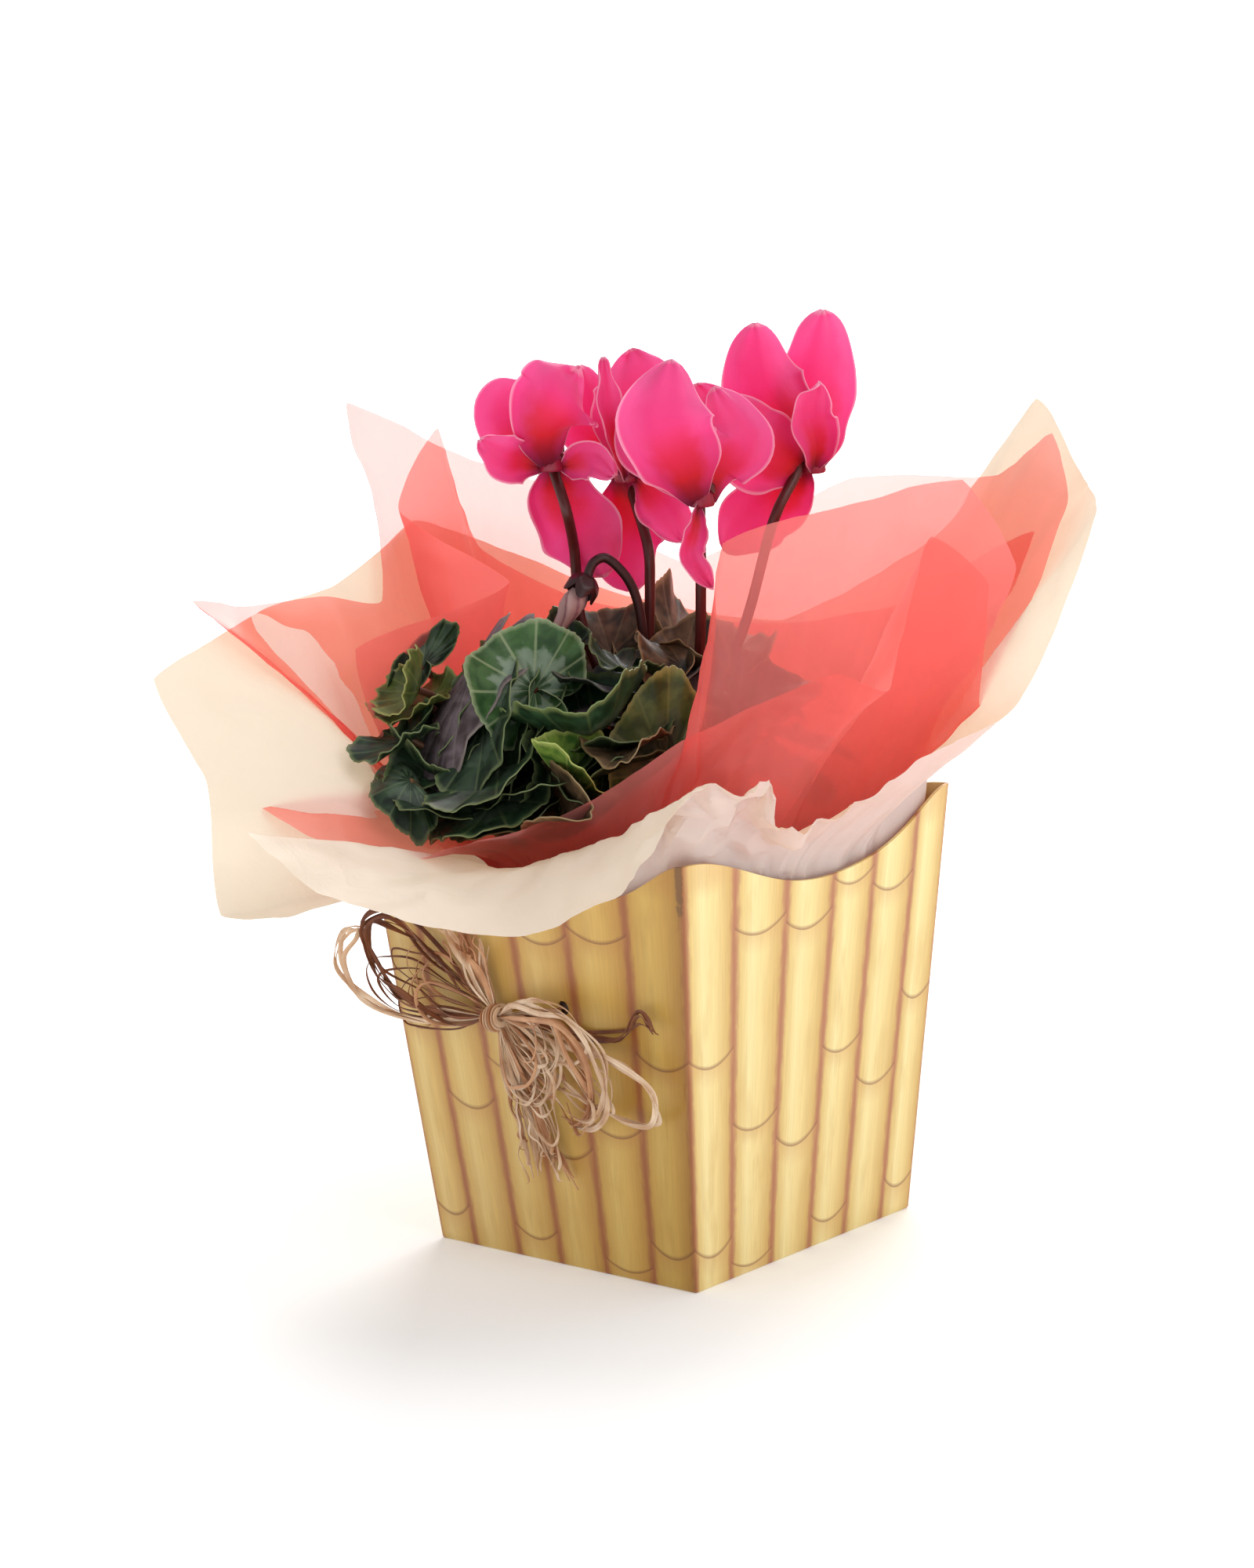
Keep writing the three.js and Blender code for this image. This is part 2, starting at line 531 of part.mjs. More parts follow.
// Half a petal's width along it: a narrow claw, widest past the middle, and a round tip.
function petalHalf(share, width) {
  const swell = share < 0.62
    ? 0.2 + 0.8 * Math.sin(((Math.PI / 2) * share) / 0.62)
    : Math.sqrt(1 - 0.9 * ((share - 0.62) / 0.38) ** 2.4);
  return (width / 2) * swell;
}

function petalBody(root, [third, most, tip, width, cup, facing, wave], thickness, number) {
  const stations = [root, point(third), point(most), point(tip)];
  const curve = new THREE.CatmullRomCurve3(stations, false, 'centripetal');
  const face = around(facing, 1, 0);
  const points = [];
  for (let step = 0; step <= PETAL_STEPS; step += 1) {
    const share = step / PETAL_STEPS;
    const middle = curve.getPoint(share);
    const side = curve.getTangent(share).cross(face).normalize();
    const normal = side.clone().cross(curve.getTangent(share)).normalize();
    const half = petalHalf(share, width);
    for (let column = 0; column <= PETAL_COLUMNS; column += 1) {
      const across = -1 + (2 * column) / PETAL_COLUMNS;
      const ripple = wave * share * across ** 2 * Math.sin(7 * share + 2 * across + number);
      points.push(middle.clone().addScaledVector(side, across * half)
        .addScaledVector(normal, cup * half * across ** 2 + ripple));
    }
  }
  const faces = [];
  const row = PETAL_COLUMNS + 1;
  for (let step = 0; step < PETAL_STEPS; step += 1) {
    for (let column = 0; column < PETAL_COLUMNS; column += 1) {
      const a = step * row + column;
      faces.push([a, a + 1, a + row + 1], [a, a + row + 1, a + row]);
    }
  }
  return thickened(points, faces, thickness);
}

function throatBody(mouth, grow) {
  const geometry = lathed([
    [0, 4.5], [THROAT_RADIUS - 1.4, -grow], [THROAT_RADIUS + grow, 0.3 - grow],
    [THROAT_RADIUS - 1 + grow, THROAT_HEIGHT + grow], [0, THROAT_HEIGHT + grow],
  ], 6);
  geometry.translate(mouth.x, mouth.y, mouth.z);
  return solid(geometry);
}

function bloomBody(bloom, number, grow) {
  const mouth = point(bloom.mouth);
  const petals = bloom.petals.map((petal, k) => {
    const lean = point(petal[0]).sub(mouth).setZ(0).normalize();
    const root = mouth.clone().addScaledVector(lean, THROAT_RADIUS - 1.2).addScaledVector(UP, 1.2);
    return petalBody(root, petal, PETAL + 2 * grow, number + k);
  });
  return fused([throatBody(mouth, grow), ...petals]);
}

// A stem climbs beside the throat, hooks over it and ends in the calyx.
function stemBody(bloom, grow) {
  const mouth = point(bloom.mouth);
  const path = bloom.stem.map(point);
  const beside = path[0].clone().sub(mouth).setZ(0).normalize();
  const calyx = mouth.clone().addScaledVector(UP, THROAT_HEIGHT + 2.6);
  const hook = [
    calyx,
    calyx.clone().addScaledVector(UP, 4.6).addScaledVector(beside, 1.5),
    calyx.clone().addScaledVector(UP, 4.4).addScaledVector(beside, 7),
    mouth.clone().addScaledVector(beside, 9).addScaledVector(UP, 4),
  ];
  const foot = footPoint(bloom.foot, STEM_RING);
  const low = foot.clone().addScaledVector(UP, STEM_RISE);
  const curve = new THREE.CatmullRomCurve3([...hook, ...path, low, foot], false, 'centripetal');
  const cup = new THREE.CylinderGeometry(2.2 + grow, 4 + grow, 4.2 + 2 * grow, 6);
  cup.rotateX(Math.PI / 2);
  cup.translate(calyx.x, calyx.y, calyx.z);
  return fused([tube(curve, STEM_RADIUS + grow, STALK_SIDES.stem, 15), solid(cup)]);
}

// ---------- the bud ----------
const BUD_FOOT = 288; // bearing at which its stem leaves the crown
const BUD_CALYX = [-8, -23, 240];
const BUD_TIP = [-14, -33, 223];
const BUD_STEM = [[-8, -22, 243], [-7, -20, 246], [-5, -17, 247], [-1, -11, 240], [1, -7, 229],
  [1, -5, 206]];

function placedAlong(geometry, from, to) {
  geometry.applyQuaternion(new THREE.Quaternion().setFromUnitVectors(UP, to.clone().sub(from).normalize()));
  geometry.translate(from.x, from.y, from.z);
  return geometry;
}

function budBody(grow) {
  const from = point(BUD_CALYX);
  const to = point(BUD_TIP);
  const length = from.distanceTo(to);
  const petals = placedAlong(lathed([
    [0, 5.2 - grow], [2.6 + grow, 5.2 - grow], [3.6 + grow, 9], [3.1 + grow, 14], [0, length + grow],
  ], 6), from, to);
  const positions = petals.attributes.position;
  for (let i = 0; i < positions.count; i += 1) {
    positions.setX(i, positions.getX(i) + 0.8 * Math.sin(0.3 * positions.getZ(i)));
  }
  return solid(petals);
}

function budStemBody(grow) {
  const from = point(BUD_CALYX);
  const to = point(BUD_TIP);
  const calyx = placedAlong(lathed([
    [0, -1.5 - grow], [3 + grow, -grow], [4.6 + grow, 2.4], [3.4 + grow, 4.8 + grow], [0, 4.8 + grow],
  ], 8), from, to);
  const foot = footPoint(BUD_FOOT, STEM_RING);
  const low = foot.clone().addScaledVector(UP, STEM_RISE);
  const path = [from, ...BUD_STEM.map(point), low, foot];
  const curve = new THREE.CatmullRomCurve3(path, false, 'centripetal');
  return fused([solid(calyx), tube(curve, STEM_RADIUS - 0.2 + grow, STALK_SIDES.stem, 14)]);
}

// ---------- the raffia bow on the -Y face ----------
// A strand is a list of [x, height, how far it stands off the card], after the knot it starts in.
const RAFFIA_THICK = 1.0;
const RAFFIA_WIDE = 1.6;
const CORD_RADIUS = 0.55; // the cord that ties the bow on through the two holes
const KNOT_RADII = [5.5, 3.4, 5];
const KNOT = [-16, 92, 5];
const KNOT_START = 2.4; // how far from the knot's middle a strand starts
const STRANDS = [
  [[-22, 104, 6], [-28, 116, 7], [-34, 124, 6]],
  [[-20, 106, 5], [-25, 118, 5], [-28, 126, 4]],
  [[-19, 108, 4], [-21, 120, 3]],
  [[-36, 91, 8], [-53, 95, 11], [-64, 106, 14], [-67, 120, 13], [-58, 125, 10], [-40, 112, 7],
    [-24, 101, 7]],
  [[-34, 87, 7], [-52, 86, 9], [-70, 92, 14], [-78, 106, 16], [-74, 118, 14], [-67, 121, 13]],
  [[-4, 98, 8], [10, 101, 10], [27, 98, 12], [36, 86, 12], [37, 68, 10], [28, 58, 7], [14, 56, 5]],
  [[0, 94, 8], [18, 96, 11], [29, 84, 12], [29, 68, 10], [18, 57, 6], [10, 60, 4]],
  [[20, 88, 5], [44, 84, 8], [56, 76, 8], [55, 64, 7], [44, 61, 6], [30, 66, 8]],
  [[14, 90, 4], [40, 92, 4], [52, 103, 5], [58, 96, 4]],
  [[-8, 74, 6], [-6, 54, 4], [-8, 34, 2]],
  [[-4, 72, 6], [3, 50, 5], [9, 34, 2]],
  [[-6, 70, 5], [-2, 52, 4], [2, 33, 2]],
];
const TIE = [[-16, 92, 4], [-16, 93, -0.4], [-13, 93.6, -2], [-2, 95.5, -2], [9, 97.4, -2],
  [12, 98, -0.4], [11, 98, 2], [2, 95, 3.5], KNOT];

function offCard([x, z, off]) {
  return new THREE.Vector3(x, -halfWidth(z) - off, z);
}

function strandBody(stations) {
  const corners = [[-1, -1], [1, -1], [1, 1], [-1, 1]];
  const half = { thick: RAFFIA_THICK / 2, wide: RAFFIA_WIDE / 2 };
  const ribbon = new THREE.Shape(corners.map(([x, y]) => new THREE.Vector2(x * half.thick, y * half.wide)));
  const route = stations.map(offCard);
  const knot = offCard(KNOT);
  const start = route[0].clone().sub(knot).setLength(KNOT_START).add(knot);
  const curve = new THREE.CatmullRomCurve3([start, ...route], false, 'centripetal');
  const steps = Math.round(1.4 * route.length) + 2;
  return solid(new THREE.ExtrudeGeometry(ribbon, { steps, extrudePath: curve, bevelEnabled: false }));
}

function tieBody() {
  const curve = new THREE.CatmullRomCurve3(TIE.map(offCard), false, 'centripetal');
  return tube(curve, CORD_RADIUS, 4, 26);
}

function knotBody() {
  const knot = new THREE.SphereGeometry(1, 8, 5);
  knot.scale(...KNOT_RADII);
  const middle = offCard(KNOT);
  knot.translate(middle.x, middle.y, middle.z);
  return solid(knot);
}

// ---------- assembly ----------
const paint = (color, roughness) => new THREE.MeshStandardMaterial({ color, roughness, metalness: 0 });
const MATERIALS = {
  card: paint('#d9b968', 0.55),
  raffia: paint('#c69a68', 0.8),
  cream: paint('#e9dccb', 0.6),
  film: paint('#f76a62', 0.25),
  pot: paint('#7b3f26', 0.5),
  soil: paint('#2b1d14', 0.95),
  corm: paint('#5a4030', 0.9),
  leaf: paint('#33452c', 0.55),
  petal: paint('#f0468c', 0.45),
  stem: paint('#4a1110', 0.5),
};

const group = new THREE.Group();
function place(name, body, material) {
  const mesh = new THREE.Mesh(geometryOf(mainBody(body)), material.clone());
  mesh.name = name;
  group.add(mesh);
}

const leaves = readLeaves();
const stalks = [
  ...leaves.map((leaf) => petioleBody(leaf, CLEARANCE)),
  ...BLOOMS.map((bloom) => stemBody(bloom, CLEARANCE)),
  budStemBody(CLEARANCE),
];

const thick = SHEET + 2 * CLEARANCE;
const cream = wrap(CREAM_FLAPS, BAG_FLOOR.cream, BAG_INSET.cream);
const creamRoom = wrap(CREAM_FLAPS, BAG_FLOOR.cream, BAG_INSET.cream, thick);
const outerFilm = wrap(OUTER_FLAPS, BAG_FLOOR.outer, BAG_INSET.outer).subtract(creamRoom);
const outerRoom = wrap(OUTER_FLAPS, BAG_FLOOR.outer, BAG_INSET.outer, thick);
const innerFilm = wrap(INNER_FLAPS, BAG_FLOOR.inner, BAG_INSET.inner).subtract(creamRoom).subtract(outerRoom);
const innerRoom = wrap(INNER_FLAPS, BAG_FLOOR.inner, BAG_INSET.inner, thick);

place('card_box', cardBox(), MATERIALS.card);
place('raffia_bow', fused([knotBody(), tieBody(), ...STRANDS.map(strandBody)]), MATERIALS.raffia);
place('cream_wrap', cream, MATERIALS.cream);
place('coral_wrap_outer', outerFilm, MATERIALS.film);
place('coral_wrap_inner', innerFilm, MATERIALS.film);
place('grow_pot', growPot(), MATERIALS.pot);
place('potting_soil', pottingSoil(), MATERIALS.soil);

const crownDish = peg(CROWN_RADIUS, 2 * CROWN_DEPTH, ROUND_SIDES, around(0, 0, CORM_TOP));
place('corm', cormBody(0).subtract(crownDish), MATERIALS.corm);

const blocked = [creamRoom, outerRoom, innerRoom];
BLOOMS.forEach((bloom, k) => {
  place(`bloom_stem_${k + 1}`, stemBody(bloom, 0), MATERIALS.stem);
  let body = bloomBody(bloom, k, 0);
  for (const room of [...stalks, ...blocked]) body = body.subtract(room);
  place(`bloom_${k + 1}`, body, MATERIALS.petal);
  blocked.push(bloomBody(bloom, k, CLEARANCE));
});
place('bud_stem', budStemBody(0), MATERIALS.stem);
place('bud', budBody(0), MATERIALS.petal);
blocked.push(budBody(CLEARANCE));

leaves.forEach((leaf, k) => {
  let blade = bladeBody(leaf, BLADE);
  stalks.forEach((stalk, other) => {
    if (other !== k) blade = blade.subtract(stalk);
  });
  for (const room of blocked) blade = blade.subtract(room);
  const name = `leaf_${String(k + 1).padStart(2, '0')}`;
  place(name, blade.add(petioleBody(leaf, 0)), MATERIALS.leaf);
  blocked.push(bladeBody(leaf, BLADE + 2 * CLEARANCE));
});

export default group;
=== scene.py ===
"""A potted cyclamen in a printed card carrier, wrapped in cream paper and coral film and tied with raffia.

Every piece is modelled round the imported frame: metres, +Z up, the origin at the middle of the box's underside.
Sizes in this file are millimetres unless a name or comment says otherwise, and angles are degrees.
"""
import functools
import math

import bpy
import numpy as np
from mathutils import Matrix, Vector, noise


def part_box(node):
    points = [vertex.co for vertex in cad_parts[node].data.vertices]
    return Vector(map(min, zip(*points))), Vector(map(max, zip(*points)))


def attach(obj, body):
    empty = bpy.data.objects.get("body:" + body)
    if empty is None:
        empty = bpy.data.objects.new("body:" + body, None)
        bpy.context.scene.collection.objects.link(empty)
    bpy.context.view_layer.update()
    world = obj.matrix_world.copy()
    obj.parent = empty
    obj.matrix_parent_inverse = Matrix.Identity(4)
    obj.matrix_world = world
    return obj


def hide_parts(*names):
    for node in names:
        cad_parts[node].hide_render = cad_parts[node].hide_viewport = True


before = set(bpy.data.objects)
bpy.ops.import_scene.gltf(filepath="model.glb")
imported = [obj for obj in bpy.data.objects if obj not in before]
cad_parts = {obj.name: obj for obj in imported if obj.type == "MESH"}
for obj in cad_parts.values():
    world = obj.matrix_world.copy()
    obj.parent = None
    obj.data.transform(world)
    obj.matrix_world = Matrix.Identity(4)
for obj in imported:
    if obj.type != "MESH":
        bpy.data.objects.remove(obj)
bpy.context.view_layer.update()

bl_info = {
    "name": "Potted cyclamen",
    "version": (1, 0, 0),
    "blender": (4, 5, 0),
    "location": "3D View > Sidebar > Cyclamen",
    "description": "Builds a potted cyclamen in its card carrier, paper, film and raffia",
    "category": "Object",
}

MM = 0.001  # metres in a millimetre

# ---------- the card carrier ----------
BOX_TOP_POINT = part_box("card_box")[1] / MM
BOX_BASE = 120.0
BOX_TOP = 2 * BOX_TOP_POINT.x
BOX_HEIGHT = BOX_TOP_POINT.z
RIM_DIP = 20.0
CARD = 1.1
FOLD_RADIUS = 0.9
HOLE_RADIUS = 2.6
HOLES = ((-16, 93), (12, 98))  # (x, height) on the left face
# the print is mirrored at every fold; shares and rings are counted from the front fold
CANE_EDGES = np.array((0, 0.175, 0.365, 0.545, 0.705, 0.872, 1))  # share of a side at which each printed cane ends
CANES = len(CANE_EDGES) - 1
CANE_LEAN = 0.055  # how far the canes lean from foot to rim, as a share of a side
# heights of the printed rings on each cane; those below 0 and over the rim only set the spacing
RING_HEIGHTS = ((-60, 11, 81, 150), (-50, 2.5, 52.5, 124, 190), (-35, 41, 120, 190), (-55, 7.5, 70, 131, 190),
                (-17, 53, 124, 190), (-60, 10, 80, 150))
RING_SAG = 0.07  # how far a ring hangs at the middle of its cane, as a share of the distance to the next one
WORN_FOLD = 5.93  # where the rubbed fold is, in canes round the box

# ---------- the wraps ----------
BAG_FOOT_IN = 3.0  # how far the sheets are drawn in at the floor
BAG_OVER_RIM = 1.5  # how far over the rim they start to spread
BAG_CORNER = 3.0  # degrees each side of a diagonal that the bag's corner is cut off
FLAP_TENSION = 0.45  # how far the sheets' edge swings between two tips, from straight lines to a full curve
CRUSHED = (325, 22)  # bearing and spread of the part that was crushed in the hand

# A flap row is (bearing at the wall, bearing, reach and height of its tip, lift) and, where it isn't FLAP_PULL, pull:
# lift is how far it rises before it leans out, pull how early it turns towards its tip.
FLAP_PULL = 0.3
CREAM_FLAPS = (
    (21, 29, 130, 190, 9, 0.35), (33, 40, 159, 254, 20), (51, 58, 164, 261, 20), (66, 74, 174, 280, 20),
    (91, 84, 145, 228, 20), (121, 107, 123, 198, 16), (146, 135, 120, 208, 14), (171, 158, 120, 231, 18),
    (196, 183, 107, 250, 22), (206, 193, 108, 243, 18, 0.35), (216, 205, 118, 233, 16, 0.35),
    (226, 215, 137, 230, 14, 0.4), (235, 221, 153, 223, 14, 0.45), (243, 228, 176, 213, 12, 0.45),
    (253, 239, 164, 181, 11, 0.5), (259, 248, 170, 140, 10, 0.55), (264, 263, 145, 148, 9, 0.5),
    (269, 259, 176, 177, 10, 0.5), (274, 268, 169, 159, 14, 0.6), (279, 279, 162, 151, 20, 0.62),
    (285, 288, 156, 146, 27, 0.64), (292, 298, 150, 149, 32, 0.64), (299, 306, 140, 159, 32, 0.6),
    (304, 313, 124, 178, 27, 0.5), (309, 320, 107, 187, 16, 0.35), (317, 329, 105, 180, 9, 0.35),
    (325, 333, 99, 185, 9, 0.35), (333, 337, 98, 166, 9, 0.35), (343, 349, 96, 166, 9, 0.35),
    (356, 368, 106, 179, 9, 0.35),
)
OUTER_FLAPS = (
    (10, 24, 123, 237, 22), (26, 31, 116, 190, 12), (37, 44, 150, 257, 24), (53, 56, 152, 276, 28),
    (71, 70, 147, 256, 24), (101, 92, 121, 254, 26), (126, 123, 108, 222, 16), (149, 148, 122, 252, 22),
    (171, 167, 110, 268, 28), (189, 189, 126, 294, 34), (199, 195, 108, 256, 22), (207, 203, 100, 227, 16),
    (213, 211, 118, 232, 16, 0.35), (219, 216, 144, 231, 18, 0.4), (225, 223, 161, 237, 24, 0.4),
    (231, 222, 134, 215, 16, 0.4), (237, 225, 110, 186, 12, 0.35), (243, 237, 100, 171, 12, 0.35),
    (248, 242, 147, 172, 15, 0.4), (257, 262, 121, 157, 13, 0.35), (274, 278, 102, 166, 14, 0.35),
    (291, 289, 90, 171, 16, 0.35), (303, 321, 92, 201, 16, 0.35), (321, 348, 104, 217, 16, 0.35),
    (331, 356, 112, 209, 16, 0.35), (344, 361, 108, 216, 16, 0.35), (357, 373, 111, 257, 28),
)
INNER_FLAPS = (
    (6, 19, 118, 275, 36), (16, 30, 131, 240, 28), (31, 36, 113, 202, 14), (46, 46, 138, 246, 26),
    (71, 70, 104, 214, 20), (101, 96, 92, 204, 16), (126, 123, 83, 206, 16), (149, 150, 88, 216, 14),
    (167, 172, 93, 238, 20), (181, 183, 94, 285, 34), (196, 198, 97, 259, 24), (205, 193, 55, 233, 18),
    (212, 209, 65, 228, 18), (225, 226, 105, 218, 20, 0.35), (235, 233, 95, 176, 15), (244, 243, 93, 160, 12),
    (255, 254, 96, 156, 14), (277, 274, 83, 157, 14), (291, 290, 81, 163, 14), (303, 321, 85, 198, 18),
    (311, 324, 86, 219, 18), (319, 328, 88, 264, 36), (341, 356, 96, 272, 36),
)
# A wrap row is (piece, CAD node, slot, flaps, columns, floor height, inset from the card, crushing, seed).
WRAPS = (
    ("cream_paper_sheet", "cream_wrap", "cream_paper", CREAM_FLAPS, 460, 1.9, 3.1, 13, 1),
    ("coral_film_outer", "coral_wrap_outer", "coral_film", OUTER_FLAPS, 440, 2.95, 5.0, 1, 2),
    ("coral_film_inner", "coral_wrap_inner", "coral_film", INNER_FLAPS, 420, 4.0, 6.9, 1, 3),
)

# ---------- pot, soil and corm ----------
POT_FOOT = 4.8
POT_HEIGHT = 108.0
POT_TOP_RADIUS = 58.5
POT_BASE_RADIUS = 43.0
POT_WALL = 1.4
POT_LIP = 1.6
POT_BAND = 14.0
SOIL_TOP = 104.0
SOIL_GAP = 0.4  # between the soil and the pot
CORM_TOP = 113.0
CORM_OUTLINE = ((0, 24), (9, 23), (15, 21), (20, 18), (24, 14), (26.4, 10), (27, 7), (26.4, 3), (24.5, 0.6), (23, 0),
                (22, 1.5))  # (radius, how far below the top)
CROWN_DEPTH = 3.0  # hollow in the corm's top that the stalks rise from
STALK_FOOT = CORM_TOP - CROWN_DEPTH
STALK_BASE = STALK_FOOT + 0.35  # where the stalks start, just clear of the corm

# ---------- the leaves ----------
# A leaf row is (tier, junction, tip, width, roll) and, where they aren't LEAF_FORM, (cup, fold, wave).
# Junction and tip are (bearing, reach, height).
LEAF_FORM = (3, 0, 2)
CROWN = np.array((0.0, 0.0, 128.0))
LEAVES = (
    ("A", (235, 74, 171), (233, 90, 173), 34, 4), ("A", (249, 97, 178), (248, 108, 178), 40, -5, -6, 0, 2),
    ("A", (262, 75, 171), (270, 96, 165), 38, -18, -5, 0, 2), ("A", (259, 69, 182), (268, 95, 174), 38, -6, -6, 0, 2),
    ("A", (282, 69, 166), (294, 84, 169), 21, -9, 4, 6, 3), ("A", (273, 52, 170), (282, 63, 173), 36, 20),
    ("A", (300, 47, 188), (304, 72, 187), 25, 3), ("A", (333, 57, 181), (324, 70, 191), 28, -5),
    ("A", (229, 81, 198), (225, 96, 193), 28, 8), ("A", (238, 90, 189), (236, 105, 182), 25, 7),
    ("B", (249, 67, 196), (264, 84, 179), 38, 6), ("B", (282, 47, 191), (293, 67, 193), 40, -9),
    ("B", (273, 36, 199), (275, 61, 198), 21, 9, -4, 0, 1), ("B", (284, 58, 173), (280, 79, 187), 19, 17, 3, 8, 2),
    ("B", (315, 50, 178), (318, 42, 201), 32, -1), ("B", (340, 37, 186), (351, 22, 200), 28, -1),
    ("B", (232, 84, 204), (239, 90, 198), 21, 4, 3, 6, 1), ("B", (240, 67, 210), (247, 89, 184), 30, -2, -4, 0, 2),
    ("B", (220, 81, 209), (219, 86, 213), 32, 3), ("C", (260, 53, 206), (250, 65, 214), 36, -26),
    ("C", (305, 21, 203), (276, 42, 204), 28, 10), ("C", (238, 34, 211), (222, 32, 218), 23, -6),
    ("C", (286, 20, 208), (276, 32, 212), 21, -6), ("C", (350, 17, 208), (21, 6, 215), 28, -2, 3, 0, 4),
    ("C", (185, 18, 209), (174, 26, 219), 30, -1, 3, 0, 4), ("C", (91, 17, 210), (116, 33, 219), 26, 14, 3, 0, 4),
    ("A", (80, 46, 187), (88, 72, 176), 36, 6), ("A", (112, 49, 180), (122, 71, 165), 36, 1),
    ("A", (142, 49, 174), (148, 73, 165), 36, 11), ("A", (174, 42, 173), (187, 64, 160), 38, -13),
    ("A", (50, 43, 178), (48, 69, 167), 34, -5), ("A", (11, 44, 174), (18, 66, 158), 32, 0),
    ("C", (76, 31, 201), (98, 47, 204), 32, -28), ("C", (166, 21, 202), (177, 48, 202), 32, -15),
    ("C", (21, 28, 195), (34, 49, 193), 30, 22),
)
FOOT_RING = {"A": 19.0, "B": 14.0, "C": 9.5}  # reach of the ring that each tier's stalks stand on
PETIOLE_RADIUS = 1.3
PETIOLE_RISE = 26.0  # how long a stalk stands upright before it leans out
PETIOLE_END = (13.0, 8.0)  # how far under the blade and behind its notch the stalk comes from
LEAF_THICKNESS = 0.45
LEAF_TEETH = 46  # fine teeth round a blade
LEAF_VEINS = 5.5  # main veins on each half of a blade
# the leaves that aren't dark, by number from 1; two of the looks are painted light
LEAF_LOOKS = {5: "dry", 7: "dry", 9: "painted_backlit", 12: "green", 13: "under", 14: "painted_lit", 15: "painted_backlit", 16: "slate",
              17: "painted_backlit", 18: "under", 20: "silver", 21: "slate", 24: "dry", 25: "dry", 26: "dry", 27: "green",
              29: "green", 31: "green", 33: "silver"}
# A leaf skin is (name, dark, light, silver share, margin, vein share) and, where they aren't the common ones,
# its roughness and the colour of the light through it.
LEAF_SKINS = {
    "dark": ("Cyclamen leaf, dark", "#16221A", "#324A30", 0.2, "#7C8A5C", 0.32),
    "green": ("Cyclamen leaf, green", "#1B3320", "#3C5F40", 0.3, "#8C9C62", 0.25),
    "silver": ("Cyclamen leaf, silvered", "#2A4A26", "#4F7440", 0.85, "#A6B48A", 0.6),
    # painted light: the next skin is the leaf's green lightened as if lit by the lamps, and the one after it as if lit
    # through from behind
    "painted_lit": ("Cyclamen leaf, lit", "#3A6426", "#86A84A", 0.1, "#C0D078", 0.5),
    "painted_backlit": ("Cyclamen leaf, lit through", "#3E4A22", "#6E7A3A", 0.15, "#A8A862", 0.25),
    "dry": ("Cyclamen leaf, dried", "#2E2A1E", "#7A6248", 0.0, "#A89068", 0.25, 0.42, "#A08048"),
    "slate": ("Cyclamen leaf, slate", "#23262A", "#474448", 0.0, "#6C6A5C", 0.25),
    "under": ("Cyclamen leaf, underside", "#4E3F42", "#84757A", 0.0, "#A2968E", 0.25, 0.6),
}
CUPPED = {1: 9, 3: 6, 4: 9, 6: 8, 12: 7}  # leaves that hold their margins up, with the extra height
# leaves kept clear of the wraps, with the share of their size that they keep
HELD_IN = {2: 0.86, 9: 0.84, 10: 0.88, 11: 0.88, 17: 0.9, 19: 0.9, 27: 0.74, 28: 0.74, 29: 0.74, 30: 0.7, 31: 0.78,
           32: 0.7}
HAS_YOUNGER = {1, 2, 3, 4} | set(range(6, 19))  # leaves with a younger leaf under them
YOUNGER_TUCK = 0.2  # how far in towards the crown a younger leaf stands
YOUNGER_TURN = 35  # to one side and the other by turns
YOUNGER_AIM = CROWN + (0, 0, 25)  # the place it is drawn in towards
YOUNGER_SIZE = (22, 34)  # its least length and width
YOUNGER_CUP = 3

